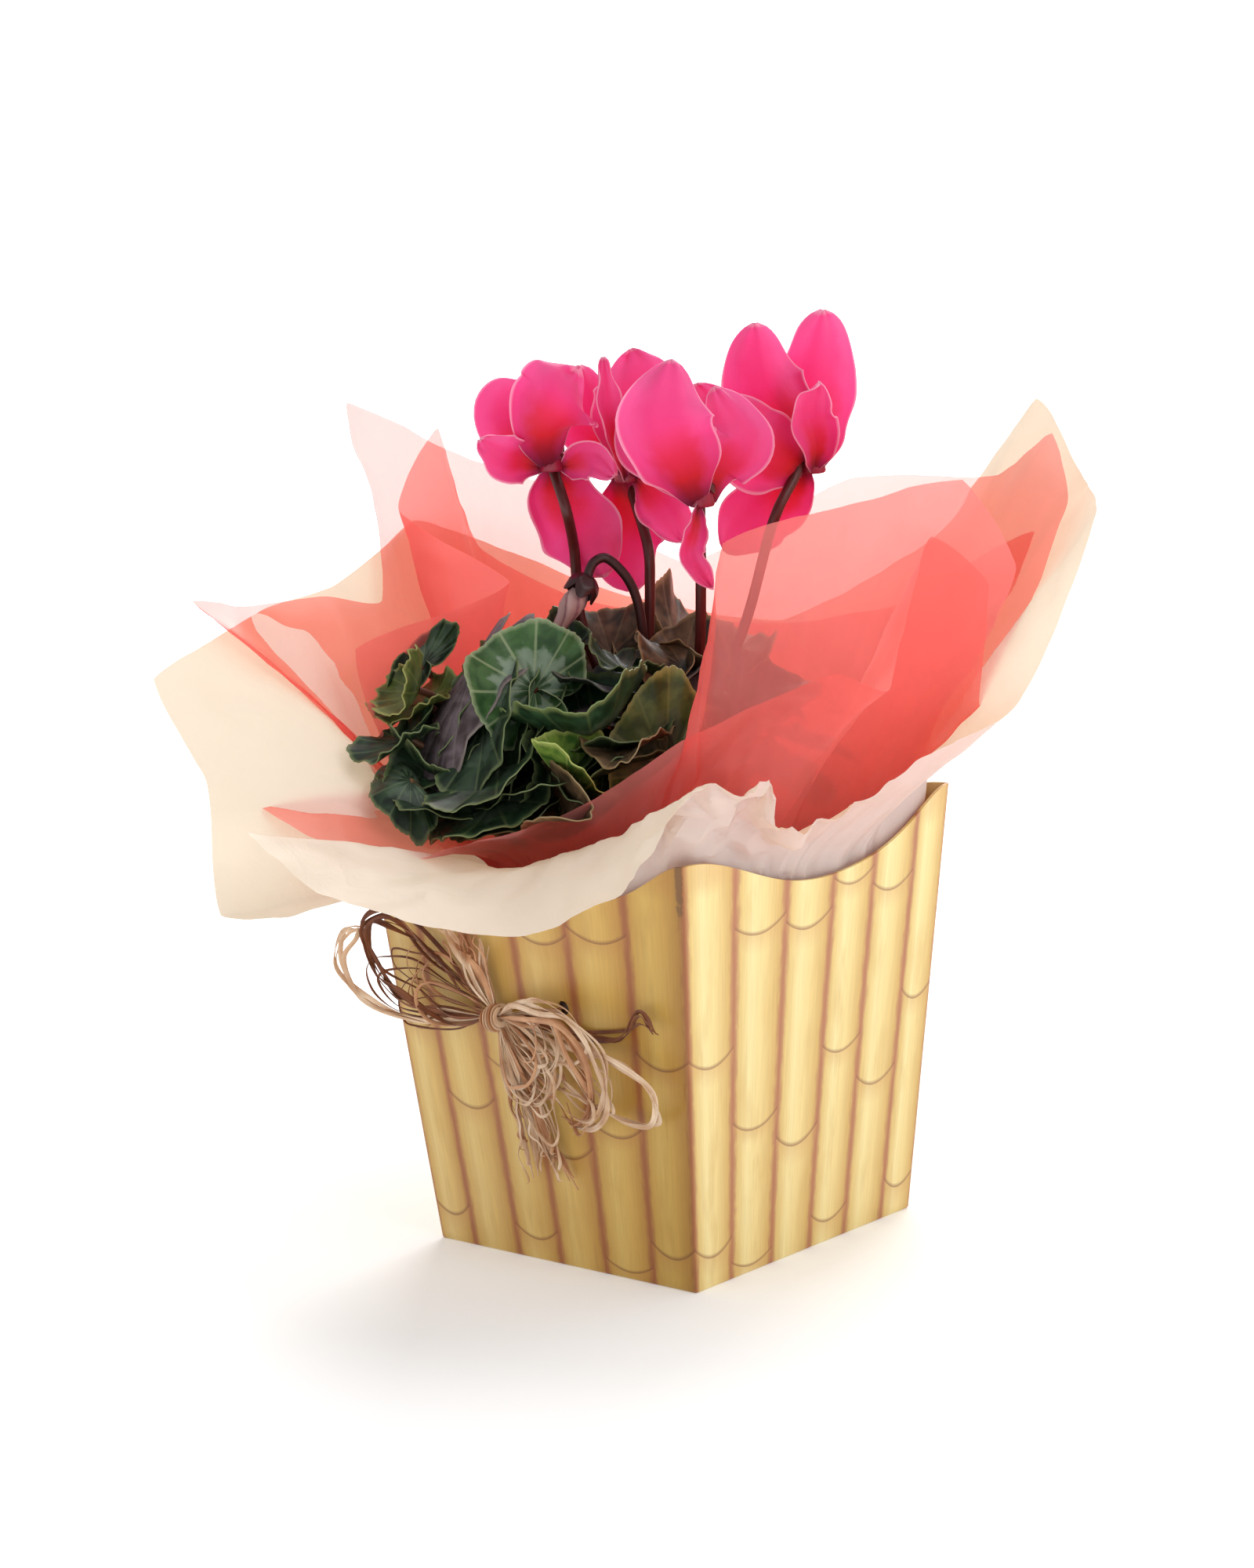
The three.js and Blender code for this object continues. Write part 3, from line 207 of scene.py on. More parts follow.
# ---------- the blooms ----------
# A petal row is (a third of the way, two thirds, tip, width, cup, facing bearing, wave).
BLOOMS = (
    {"mouth": (-21, -25, 278), "foot": 216, "hook": 131,
     "stem": ((-15, -25, 265), (-20, -16, 249), (-21, -13, 223), (-12, -11, 195)),
     "petals": (
        ((-14, -37, 296), (-8, -34, 308), (-10, -22, 314), 30, -0.6, 311, 2.5),
        ((-36, -21, 287), (-43, -19, 295), (-36, -16, 306), 24, -0.5, 311, 2.5),
        ((-26, -34, 282), (-28, -43, 285), (-32, -49, 292), 15, 0.3, 341, 1.5),
        ((-26, -15, 268), (-19, -11, 254), (-13, -8, 238), 26, -0.25, 311, 1.5),
        ((-13, -22, 280), (-4, -22, 282), (4, -20, 277), 12, 0.3, 311, 1),
      )},
    {"mouth": (-12, 5, 270), "foot": 144, "hook": 131,
     "stem": ((-1, 2, 247), (-1, 2, 235), (-3, 2, 205)),
     "petals": (
        ((-4, -1, 287), (-4, 4, 303), (-11, 9, 317), 27, -0.3, 311, 1.5),
        ((-4, -9, 285), (-4, -14, 300), (-7, -11, 317), 9, 0.5, 341, 0.5),
        ((-23, 7, 279), (-32, 6, 292), (-33, 6, 310), 22, -0.3, 311, 1.5),
        ((-15, 5, 261), (-15, 3, 246), (-10, 5, 231), 24, -0.25, 311, 1.5),
        ((-2, 4, 269), (6, 5, 261), (11, 7, 250), 16, -0.25, 311, 1.5),
      )},
    {"mouth": (33, -8, 267), "foot": 0, "hook": 135,
     "stem": ((27, -3, 241), (20, 2, 207)),
     "petals": (
        ((37, -21, 282), (35, -28, 299), (32, -20, 320), 30, -0.3, 311, 1.5),
        ((39, -6, 280), (44, 2, 290), (35, -1, 308), 22, -0.3, 341, 1.5),
        ((22, -10, 279), (12, -13, 291), (11, -12, 306), 18, -0.3, 301, 1),
        ((25, 4, 280), (24, 8, 293), (20, 7, 307), 22, -0.3, 311, 1),
        ((36, -16, 261), (37, -21, 252), (43, -16, 240), 9, 0.4, 341, 1),
      )},
    {"mouth": (36, 50, 270), "foot": 72, "hook": 260,
     "stem": ((33, 34, 260), (30, 32, 251), (24, 26, 223), (16, 19, 195)),
     "petals": (
        ((29, 47, 285), (19, 43, 301), (17, 44, 323), 26, -0.3, 311, 1.5),
        ((33, 58, 283), (32, 63, 302), (33, 63, 326), 26, -0.3, 321, 1.5),
        ((43, 43, 281), (44, 38, 293), (50, 38, 305), 15, 0.35, 331, 1),
        ((35, 36, 276), (26, 25, 285), (16, 19, 300), 28, -0.25, 311, 1.5),
        ((25, 49, 263), (17, 41, 255), (9, 32, 242), 24, -0.25, 311, 1.5),
      )},
)
THROAT_RADIUS = 4.6
THROAT_HEIGHT = 8.0
THROAT = ((0, 0.5), (2.2, 0.2), (3.2, 0), (4.2, 0.1), (4.6, 0.6), (4.5, 2.4), (4.1, 5), (3.6, 8), (1.8, 8.3), (0, 8.3))
STEM_RING = 4.8  # reach of the ring that the flower stems stand on
STEM_RADIUS = 1.9
STEM_RISE = 14.0
PETAL_THICKNESS = 0.4
PETAL_WIDEST = 0.62  # share of a petal's length
CALYX_THICKNESS = 0.5

# ---------- the bud ----------
BUD_FOOT = 288
BUD_CALYX = (-8, -23, 240)
BUD_TIP = (-16, -35, 220)
BUD_TWIST = 0.45  # turns from its base to its point
BUD_STEM = ((-8, -22, 243), (-7, -20, 246), (-5, -17, 247), (-1, -11, 240), (1, -7, 229), (1, -5, 206))

# ---------- the raffia: points are (x, height, how far off the card) ----------
KNOT = (-16, 92, 5)
KNOT_RINGS = 6
RIBBON_THICKNESS = 0.35
TUFT_THICKNESS = 0.3
RING_RIBBON = (2.2, 0.4)  # width and thickness
TIE_RIBBON = (1.2, 0.6)
# A strand is (ribbons, look, stations).
STRANDS = (
    (4, "pale", ((-22, 104, 6), (-28, 116, 7), (-34, 124, 6))),
    (3, "warm", ((-20, 106, 5), (-25, 118, 5), (-28, 126, 4))),
    (3, "pale", ((-19, 108, 4), (-21, 120, 3))),
    (6, "dark", ((-36, 91, 8), (-53, 95, 11), (-64, 106, 14), (-67, 120, 13), (-58, 125, 10), (-40, 112, 7),
                 (-24, 101, 7))),
    (4, "pale", ((-34, 87, 7), (-52, 86, 9), (-70, 92, 14), (-78, 106, 16), (-74, 118, 14), (-67, 121, 13))),
    (4, "pale", ((-4, 98, 8), (10, 101, 10), (27, 98, 12), (36, 86, 12), (37, 68, 10), (28, 58, 7), (14, 56, 5))),
    (4, "warm", ((0, 94, 8), (18, 96, 11), (29, 84, 12), (29, 68, 10), (18, 57, 6), (10, 60, 4))),
    (3, "pale", ((20, 88, 5), (44, 84, 8), (56, 76, 8), (55, 64, 7), (44, 61, 6), (30, 66, 8))),
    (3, "dark", ((14, 90, 4), (40, 92, 4), (52, 103, 5), (58, 96, 4))),
    (4, "pale", ((-8, 74, 6), (-6, 54, 4), (-8, 34, 2))),
    (4, "warm", ((-4, 72, 6), (3, 50, 5), (9, 34, 2))),
    (3, "pale", ((-6, 70, 5), (-2, 52, 4), (2, 33, 2))),
)
TIE = ((-16, 92, 4), (-16, 93, -0.4), (-13, 93.6, -2), (-2, 95.5, -2), (9, 97.4, -2), (12, 98, -0.4),
       (11, 98, 2), (2, 95, 3.5), KNOT)
# A tuft row is (kind, ribbons, directions from the knot, reaches, widths of a loop, look).
TUFTS = (
    ("loop", 18, (-64, 0), (26, 50), (4, 11), "pale"), ("loop", 8, (-58, -6), (20, 40), (3, 9), "warm"),
    ("loop", 5, (-36, -12), (48, 64), (4, 9), "pale"), ("tail", 12, (-84, -64), (44, 62), (1, 4), "pale"),
    ("tail", 5, (-88, -60), (36, 58), (1, 4), "warm"), ("tail", 9, (98, 128), (22, 38), (1, 3), "warm"),
    ("loop", 6, (146, 176), (30, 52), (5, 11), "warm"), ("loop", 4, (158, 186), (44, 60), (6, 12), "dark"),
)

# ---------- the studio: a light is (name, place in metres, size in metres, watts, colour) ----------
AIM = Vector((0, 0, 0.17))
LIGHTS = (
    ("key_light", (2.0, -0.3, 1.3), 1.2, 15, "#FFFBF4"),
    ("fill_light", (-1.0, -2.2, 0.9), 1.6, 1.5, "#F4F6FF"),
    ("back_light", (-0.9, 1.9, 1.4), 1.4, 40, "#FFFFFF"),
    ("top_light", (0.2, 0.3, 2.4), 1.4, 12, "#FFFFFF"),
)

# ---------- the camera, fitted to the photograph ----------
CAMERA_PLACE = (1.27874, -1.47344, 0.60367)  # metres
CAMERA_RIGHT = (0.75738, 0.65152, -0.04354)
CAMERA_UP = (-0.11153, 0.19477, 0.97449)
CAMERA_LENS = 129.2
SENSOR = 36.0


# ==================== helpers ====================
def linear(code):
    """An sRGB hex colour as linear red, green, blue and alpha."""
    channels = [int(code[i:i + 2], 16) / 255 for i in (1, 3, 5)]
    return tuple(c / 12.92 if c <= 0.04045 else ((c + 0.055) / 1.055) ** 2.4 for c in channels) + (1.0,)


def add_node(tree, kind, *feeds, stops=(), **options):
    """Adds a shader node. Feeds fill its open sockets in order, and an option with a capital letter fills the
    socket of that name: with a value, a hex colour, a socket, or a node, which gives its first open output.
    The other options are the node's own settings, and stops are a ramp's places and colours."""
    node = tree.nodes.new("ShaderNode" + kind)
    if kind == "Mix":
        node.data_type = "RGBA"  # every Mix node here blends colours
    for name, value in options.items():
        if name[0].islower():
            setattr(node, name, value)
    filled = list(zip([socket for socket in node.inputs if socket.enabled], feeds))
    filled += [(node.inputs[name.replace("_", " ")], value) for name, value in options.items() if name[0].isupper()]
    for socket, value in filled:
        if isinstance(value, bpy.types.Node):
            value = next(out for out in value.outputs if out.enabled)
        if isinstance(value, bpy.types.NodeSocket):
            tree.links.new(value, socket)
        else:
            socket.default_value = linear(value) if isinstance(value, str) else value
    for k, (place, code) in enumerate(stops):
        stop = node.color_ramp.elements[k] if k < 2 else node.color_ramp.elements.new(place)
        stop.position = place
        stop.color = linear(code)
    return node


def made_of(name, recipe, *values):
    """A node material. Its recipe is given the function that adds a node, and returns the finished shader."""
    material = bpy.data.materials.new(name)
    material.use_nodes = True
    material.node_tree.nodes.clear()
    add = functools.partial(add_node, material.node_tree)
    add("OutputMaterial", recipe(add, *values))
    return material


def values_of(items, name, size, kind=float):
    """One property of every vertex or loop, with a row for each."""
    flat = np.empty(size * len(items), kind)
    items.foreach_get(name, flat)
    return flat.reshape(-1, size)


def set_points(piece, points):
    piece.data.vertices.foreach_set("co", (np.asarray(points) * MM).ravel())
    piece.data.update()


def choose(*pieces):
    """Selects these pieces and nothing else, the first of them active."""
    bpy.ops.object.select_all(action="DESELECT")
    for piece in pieces:
        piece.select_set(True)
    if pieces:
        bpy.context.view_layer.objects.active = pieces[0]


def in_edit_mode(piece, *steps):
    """Runs edit-mode steps on all of a piece's mesh."""
    choose(piece)
    bpy.ops.object.mode_set(mode="EDIT")
    bpy.ops.mesh.select_all(action="SELECT")
    for step in steps:
        step()
    bpy.ops.object.mode_set(mode="OBJECT")


def weld(piece):
    in_edit_mode(
        piece,
        lambda: bpy.ops.mesh.remove_doubles(threshold=0.00002),
        lambda: bpy.ops.mesh.normals_make_consistent(inside=False),
    )
    return piece


def grid_piece(name, across, along, place):
    """A grid primitive whose points are moved to place(u, v), with u and v from 0 to 1; its UV map keeps u and v."""
    choose()
    bpy.ops.mesh.primitive_grid_add(x_subdivisions=across, y_subdivisions=along, size=2)
    piece = bpy.context.active_object
    piece.name = piece.data.name = name
    flat = values_of(piece.data.vertices, "co", 3)
    set_points(piece, place((flat[:, 0] + 1) / 2, (flat[:, 1] + 1) / 2))
    return piece


def add_modifier(piece, kind, **settings):
    """Adds a modifier with its settings and applies it."""
    modifier = piece.modifiers.new(kind.title(), kind)
    for name, value in settings.items():
        setattr(modifier, name, value)
    bpy.context.view_layer.objects.active = piece
    bpy.ops.object.modifier_apply(modifier=modifier.name)
    return piece


def finish(piece, slot, *materials, nodes=(), smooth=60):
    """Gives a piece its materials, shading and body, and hides the CAD nodes it stands for; the slot is not used."""
    for material in materials:
        piece.data.materials.append(material)
    choose(piece)
    bpy.ops.object.shade_smooth_by_angle(angle=math.radians(smooth))
    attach(piece, "root")
    if nodes:
        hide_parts(*nodes)
    return piece


def join_pieces(name, pieces, node):
    """Joins pieces into one that stands for a CAD node."""
    choose(*pieces)
    bpy.ops.object.join()
    pieces[0].name = pieces[0].data.name = name
    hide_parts(node)


def around(bearing, reach, height):
    """Points from bearings, reaches and heights; any of them may be an array."""
    turn = np.radians(bearing)
    return np.stack(np.broadcast_arrays(reach * np.cos(turn), reach * np.sin(turn), height), axis=-1)


def round_about(u, side, other):
    """Directions round an axis, from side towards other; u from 0 to 1 is one turn."""
    turn = 2 * math.pi * u[:, None]
    return np.cos(turn) * side + np.sin(turn) * other


def unit(vectors):
    return vectors / np.maximum(np.linalg.norm(vectors, axis=-1, keepdims=True), 1e-9)


def axis_frame(start, end):
    """The direction from start to end and two directions square to it."""
    ahead = unit(np.asarray(end, float) - start)
    side = unit(np.cross(ahead, (0.3, 0.9, 0.2)))
    return ahead, side, np.cross(ahead, side)


def rotated(vector, axis, degrees):
    return np.array(Matrix.Rotation(math.radians(degrees), 3, Vector(axis)) @ Vector(vector))


def curve_between(p0, p1, p2, p3, t, tension=1.0):
    """A centripetal Catmull-Rom curve from p1 to p2; less tension brings it nearer to a straight line."""
    gaps = [np.maximum(np.linalg.norm(b - a, axis=1, keepdims=True) ** 0.5, 1e-6)
            for a, b in ((p0, p1), (p1, p2), (p2, p3))]
    step = p2 - p1
    leave = step + gaps[1] * ((p1 - p0) / gaps[0] - (p2 - p0) / (gaps[0] + gaps[1]))
    arrive = step + gaps[1] * ((p3 - p2) / gaps[2] - (p3 - p1) / (gaps[1] + gaps[2]))
    leave, arrive = (tension * speed + (1 - tension) * step for speed in (leave, arrive))
    return ((2 * t**3 - 3 * t**2 + 1) * p1 + (t**3 - 2 * t**2 + t) * leave
            + (3 * t**2 - 2 * t**3) * p2 + (t**3 - t**2) * arrive)


def spline(stations, share):
    """Points of a smooth curve through the stations, at shares from 0 to 1."""
    stations = np.asarray(stations, float)
    ends = np.vstack([2 * stations[0] - stations[1], stations, 2 * stations[-1] - stations[-2]])
    where = np.clip(share, 0, 1) * (len(stations) - 1)
    k = np.minimum(where.astype(int), len(stations) - 2)
    return curve_between(*(ends[k + i] for i in range(4)), (where - k)[:, None])


def bezier(p0, p1, p2, p3, t):
    t = t[..., None]
    return (1 - t) ** 3 * p0 + 3 * (1 - t) ** 2 * t * p1 + 3 * (1 - t) * t**2 * p2 + t**3 * p3


def roughness_field(points, size, seed):
    """Smooth noise from about -1 to 1 at the points, with features of the given size."""
    shift = Vector((31.7 * seed, 17.3 * seed, 5.9 * seed))
    return np.array([noise.fractal(Vector(p) / size + shift, 0.6, 2.1, 3) for p in points])


def creases(points, size, seed):
    """Sharp crumpled ridges from 0 to 1 with facets of the given size."""
    shift = Vector((13.1 * seed, 7.7 * seed, 3.3 * seed))
    nearest = [noise.voronoi(Vector(p) / size + shift)[0] for p in points]
    return np.clip(np.array([near[1] - near[0] for near in nearest]), 0, 1)


def frames_along(path):
    """Side and normal at each point of a path, with no twist."""
    tangent = unit(np.gradient(path, axis=0))
    side = np.empty_like(path)
    start = np.cross(tangent[0], (0.31, 0.17, 0.93))
    side[0] = start / np.linalg.norm(start)
    for k in range(1, len(path)):
        moved = side[k - 1] - tangent[k] * (side[k - 1] @ tangent[k])
        side[k] = moved / np.linalg.norm(moved)
    return side, np.cross(tangent, side)


def swept_piece(name, path, sides, section):
    """A closed form along a path: section(u, k) is its outline at each station, and both ends are drawn shut."""
    steps = len(path) - 1

    def place(u, v):
        k = np.clip(np.round(v * (steps + 2)).astype(int) - 1, 0, steps)
        is_open = (v >= 1e-6) & (v <= 1 - 1e-6)
        return path[k] + is_open[:, None] * section(u, k)

    return weld(grid_piece(name, sides, steps + 2, place))


def tube_piece(name, path, radius, sides):
    """A closed round tube along a path."""
    side, normal = frames_along(path)
    return swept_piece(name, path, sides, lambda u, k: radius * round_about(u, side[k], normal[k]))


def lathe_piece(name, profile, sides, wobble=0.0, seed=0, size=9.0):
    """A turned closed form: the profile runs from the axis to the axis, as (radius, height)."""
    profile = np.asarray(profile, float)
    steps = len(profile) - 1

    def place(u, v):
        radius, height = profile[np.clip(np.round(v * steps).astype(int), 0, steps)].T
        turn = 2 * math.pi * u
        points = np.stack([radius * np.cos(turn), radius * np.sin(turn), height], axis=1)
        if wobble:
            push = wobble * roughness_field(points, size, seed)
            points[:, 2] += push * (radius > 0)
            points[:, :2] *= (1 + 0.6 * push / np.maximum(radius, 1))[:, None]
        return points

    return weld(grid_piece(name, sides, steps, place))


# ==================== the card carrier ====================
def half_width(z):
    """Half the box's outer width at a height."""
    return (BOX_BASE + (BOX_TOP - BOX_BASE) * z / BOX_HEIGHT) / 2


def rim_height(along):
    """The scalloped rim, steeper towards one corner of each side; along runs from -1 to 1."""
    t = (along + 1) / 2
    skewed = t - 0.12 * np.sin(math.pi * t**3)
    return BOX_HEIGHT - RIM_DIP * np.sin(math.pi * skewed) ** 2


def card_box_piece():
    """Floor and four sides with a column of faces for every part of a cane; its UV map counts canes and rings."""
    per_cane, floor_rows, wall_rows = 8, 3, 40
    canes = 4 * CANES
    bounds = [side + (CANE_EDGES if side % 2 else 1 - CANE_EDGES[::-1])[:-1] for side in range(4)]
    bounds = np.concatenate(bounds + [[4]])

    def place(u, v):
        where = np.interp(u * canes, np.arange(canes + 1), bounds)
        side = np.minimum(np.floor(where + 1e-9), 3)
        along = 2 * (where - side) - 1
        sway = 2 * CANE_LEAN * np.where(side % 2, 1, -1) * (1 - along**2)
        row = v * (floor_rows + wall_rows)
        z = np.clip((row - floor_rows) / wall_rows, 0, 1) * rim_height(along + 0.5 * sway)
        along = along + sway * (z / BOX_HEIGHT - 0.5)
        reach = half_width(z) * np.clip(row / floor_rows, 0, 1)
        x, y = along * reach, -reach
        turn = side * math.pi / 2
        return np.stack([x * np.cos(turn) - y * np.sin(turn), x * np.sin(turn) + y * np.cos(turn), z], axis=1)

    box = grid_piece("card_box_body", canes * per_cane, floor_rows + wall_rows, place)
    layer = box.data.uv_layers[0].data
    across = values_of(layer, "uv", 2)[:, 0] * canes
    cane_of_loop = np.repeat(np.floor(across.reshape(-1, 4).mean(axis=1)).astype(int), 4)
    vertex = values_of(box.data.loops, "vertex_index", 1, int)[:, 0]
    height = values_of(box.data.vertices, "co", 3)[vertex, 2] / MM
    ring = np.empty(len(height))
    for k in range(canes):
        rings = RING_HEIGHTS[k % CANES if k // CANES % 2 else CANES - 1 - k % CANES]
        own = cane_of_loop == k
        ring[own] = np.interp(height[own], rings, np.arange(len(rings)))
    layer.foreach_set("uv", np.stack([across, ring], axis=1).ravel())
    weld(box)
    add_modifier(box, "BEVEL", width=FOLD_RADIUS * MM, segments=3, limit_method="ANGLE",
                 angle_limit=math.radians(50))
    add_modifier(box, "SOLIDIFY", thickness=CARD * MM, offset=-1, material_offset=1, material_offset_rim=2)
    for x, z in HOLES:
        choose()
        bpy.ops.mesh.primitive_cylinder_add(
            vertices=24, radius=HOLE_RADIUS * MM, depth=8 * MM, rotation=(math.pi / 2, 0, 0),
            location=(x * MM, -half_width(z) * MM, z * MM))
        punch = bpy.context.active_object
        add_modifier(box, "BOOLEAN", object=punch, operation="DIFFERENCE", solver="EXACT")
        bpy.data.objects.remove(punch)
    return box


def printed_card(add):
    """Coated board printed with canes: satin, yellow, with blurred red-brown gaps and thin hanging rings."""
    uv = add("UVMap")
    place = add("SeparateXYZ", uv)
    share = add("Math", place, operation="FRACT")
    aside = add("Math", add("Math", share, 0.5, operation="SUBTRACT"), operation="ABSOLUTE")
    edge = add("Math", aside, 2.0, operation="MULTIPLY")
    canes = add("ValToRGB", share, stops=((0.0, "#C08A56"), (1.0, "#BC8450"), (0.12, "#DDBE74"),
                                          (0.34, "#F0DC9C"), (0.6, "#EBD08A"), (0.88, "#D2AC62")))
    # long fibres: streaks about 0.6 mm wide and 20 mm long
    streaks = add("TexNoise", add("Mapping", uv, Scale=(34.0, 3.2, 1.0)), Scale=1.0, Detail=4.0)
    # broad stains that run over several canes
    broad = add("Mapping", uv, Scale=(1.7, 1.3, 1.0))
    stains = add("MapRange", add("TexNoise", broad, Scale=1.6, Detail=3.0), 0.52, 0.78, 0.0, 0.5)
    stained = add("Mix", stains, canes, "#CFA85C")
    shaded = add("Mix", 1.0, stained, add("MapRange", streaks, 0.3, 0.7, 0.93, 1.05), blend_type="MULTIPLY")
    # the gap between two canes, wider and narrower along its length
    gap_edge = add("MapRange", add("TexNoise", broad, Scale=7.0), 0.3, 0.7, 0.66, 0.86)
    gap = add("MapRange", edge, gap_edge, 1.0, 0.0, 0.8, interpolation_type="SMOOTHSTEP")
    gapped = add("Mix", gap, shaded, "#AC6A48")
    # a ring hangs lowest at the middle of its cane
    hang = add("Math", add("Math", edge, 2.0, operation="POWER"), -RING_SAG, operation="MULTIPLY")
    ring = add("Math", add("Math", place.outputs[1], hang, operation="ADD"), operation="FRACT")
    shadowed = add("Mix", add("MapRange", ring, 0.9, 1.0, 0.0, 0.4), gapped, "#CC9A5C")
    ringed = add("Mix", add("MapRange", ring, 0.024, 0.006, 0.0, 0.75), shadowed, "#94603A")
    # painted shade: the front side, turned from the key light, is darkened and made more mustard, most towards the fold
    painted_face_shade = add("ValToRGB", add("MapRange", place, 0.0, 4.0 * CANES), stops=(
        (0.0, "#F2E6D2"), (1.0, "#FFFFFF"), (0.2, "#E2CE9A"), (0.248, "#CDB678"), (0.252, "#FFFFFF")))
    toned = add("Mix", 1.0, ringed, painted_face_shade, blend_type="MULTIPLY")
    # the ink is rubbed off the top 35 mm of the front fold, in flecks of about 1 mm
    spot = add("TexCoord").outputs["Object"]
    high = add("MapRange", add("SeparateXYZ", spot).outputs[2], (BOX_HEIGHT - 35) * MM, (BOX_HEIGHT - 4) * MM)
    beside = add("Math", add("Math", place, WORN_FOLD, operation="SUBTRACT"), operation="ABSOLUTE")
    rubbed = add("Math", high, add("MapRange", beside, 0.09, 0.03), operation="MULTIPLY")
    flecks = add("TexNoise", spot, Scale=1 / (2.5 * MM), Detail=4.0, Roughness=0.7)
    flecked = add("Math", rubbed, 0.75, flecks, operation="MULTIPLY_ADD")
    worn = add("Mix", add("MapRange", flecked, 0.78, 0.98, 0.0, 0.8), toned, "#6E4A20")
    grain = add("Bump", Height=streaks, Strength=0.08, Distance=0.0004)
    return add("BsdfPrincipled", worn, Roughness=0.42, Normal=grain, Specular_IOR_Level=0.5)


def plain_board(add, colour, grit):
    """Bare grey-brown board: matt, with short pulp fibres."""
    fibres = add("TexNoise", add("TexCoord").outputs["Object"], Scale=1 / (grit * MM), Detail=5.0, Roughness=0.7)
    tone = add("Mix", 1.0, colour, add("MapRange", fibres, 0.3, 0.7, 0.82, 1.1), blend_type="MULTIPLY")
    bump = add("Bump", Height=fibres, Strength=0.25, Distance=0.0005)
    return add("BsdfPrincipled", tone, Roughness=0.85, Normal=bump)


class CyclamenCard(bpy.types.PropertyGroup):
    """Colours of the card carrier."""
    inside: bpy.props.FloatVectorProperty(
        name="Inside", description="Colour of the bare board inside", default=linear("#B9A27C")[:3],
        subtype="COLOR", min=0, max=1)


class OBJECT_OT_cyclamen_card(bpy.types.Operator):
    """Folds the printed card carrier"""
    bl_idname = "object.cyclamen_card"
    bl_label = "Card carrier"

    def execute(self, context):
        inside = (*context.scene.cyclamen_card.inside, 1.0)
        finish(card_box_piece(), "card", made_of("Coated board, bamboo print", printed_card),
               made_of("Grey board, uncoated", plain_board, inside, 0.8),
               made_of("Cut edge of grey board", plain_board, "#A78A5C", 0.4), nodes=["card_box"], smooth=40)
        return {"FINISHED"}


# ==================== the wraps ====================
def bag_point(bearing, z, inset):
    """Points of the bag's square outline inside the card, with its corners cut off."""
    half = half_width(z) - inset
    from_diagonal = np.abs(np.mod(bearing, 90) - 45)
    reach = half / np.cos(np.radians(45 - from_diagonal))
    corner = half / math.cos(math.radians(45 - BAG_CORNER))
    chord = corner * math.cos(math.radians(BAG_CORNER)) / np.cos(np.radians(from_diagonal))
    return around(bearing, np.where(from_diagonal < BAG_CORNER, chord, reach), z)


def rim_at(bearing):
    """Height of the card's rim at a bearing."""
    from_middle = np.mod(bearing + 45, 90) - 45
    return rim_height(np.tan(np.radians(from_middle)))


def flap_values(rows, columns):
    """The flap row blended at each column of the sheet; the columns are spaced evenly along its edge."""
    count = len(rows)
    tips = around(rows[:, 1], rows[:, 2], rows[:, 3])
    total = np.concatenate([[0], np.cumsum(np.linalg.norm(np.roll(tips, -1, axis=0) - tips, axis=1) + 6.0)])
    where = np.interp(np.linspace(0, total[-1], columns + 1), total, np.arange(count + 1))
    k = np.floor(where).astype(int)
    t = (where - k)[:, None]

    def pick(values, step):
        return values[(k + step) % count]

    def blend(values, rounds=0.0):
        here, after = (pick(values, step) + rounds * ((k + step) // count) for step in (0, 1))
        return here * (1 - t[:, 0]) + after * t[:, 0]

    tip = curve_between(*(pick(tips, step) for step in (-1, 0, 1, 2)), t, FLAP_TENSION)
    return blend(rows[:, 0], 360.0), tip, blend(rows[:, 4]), blend(rows[:, 5])


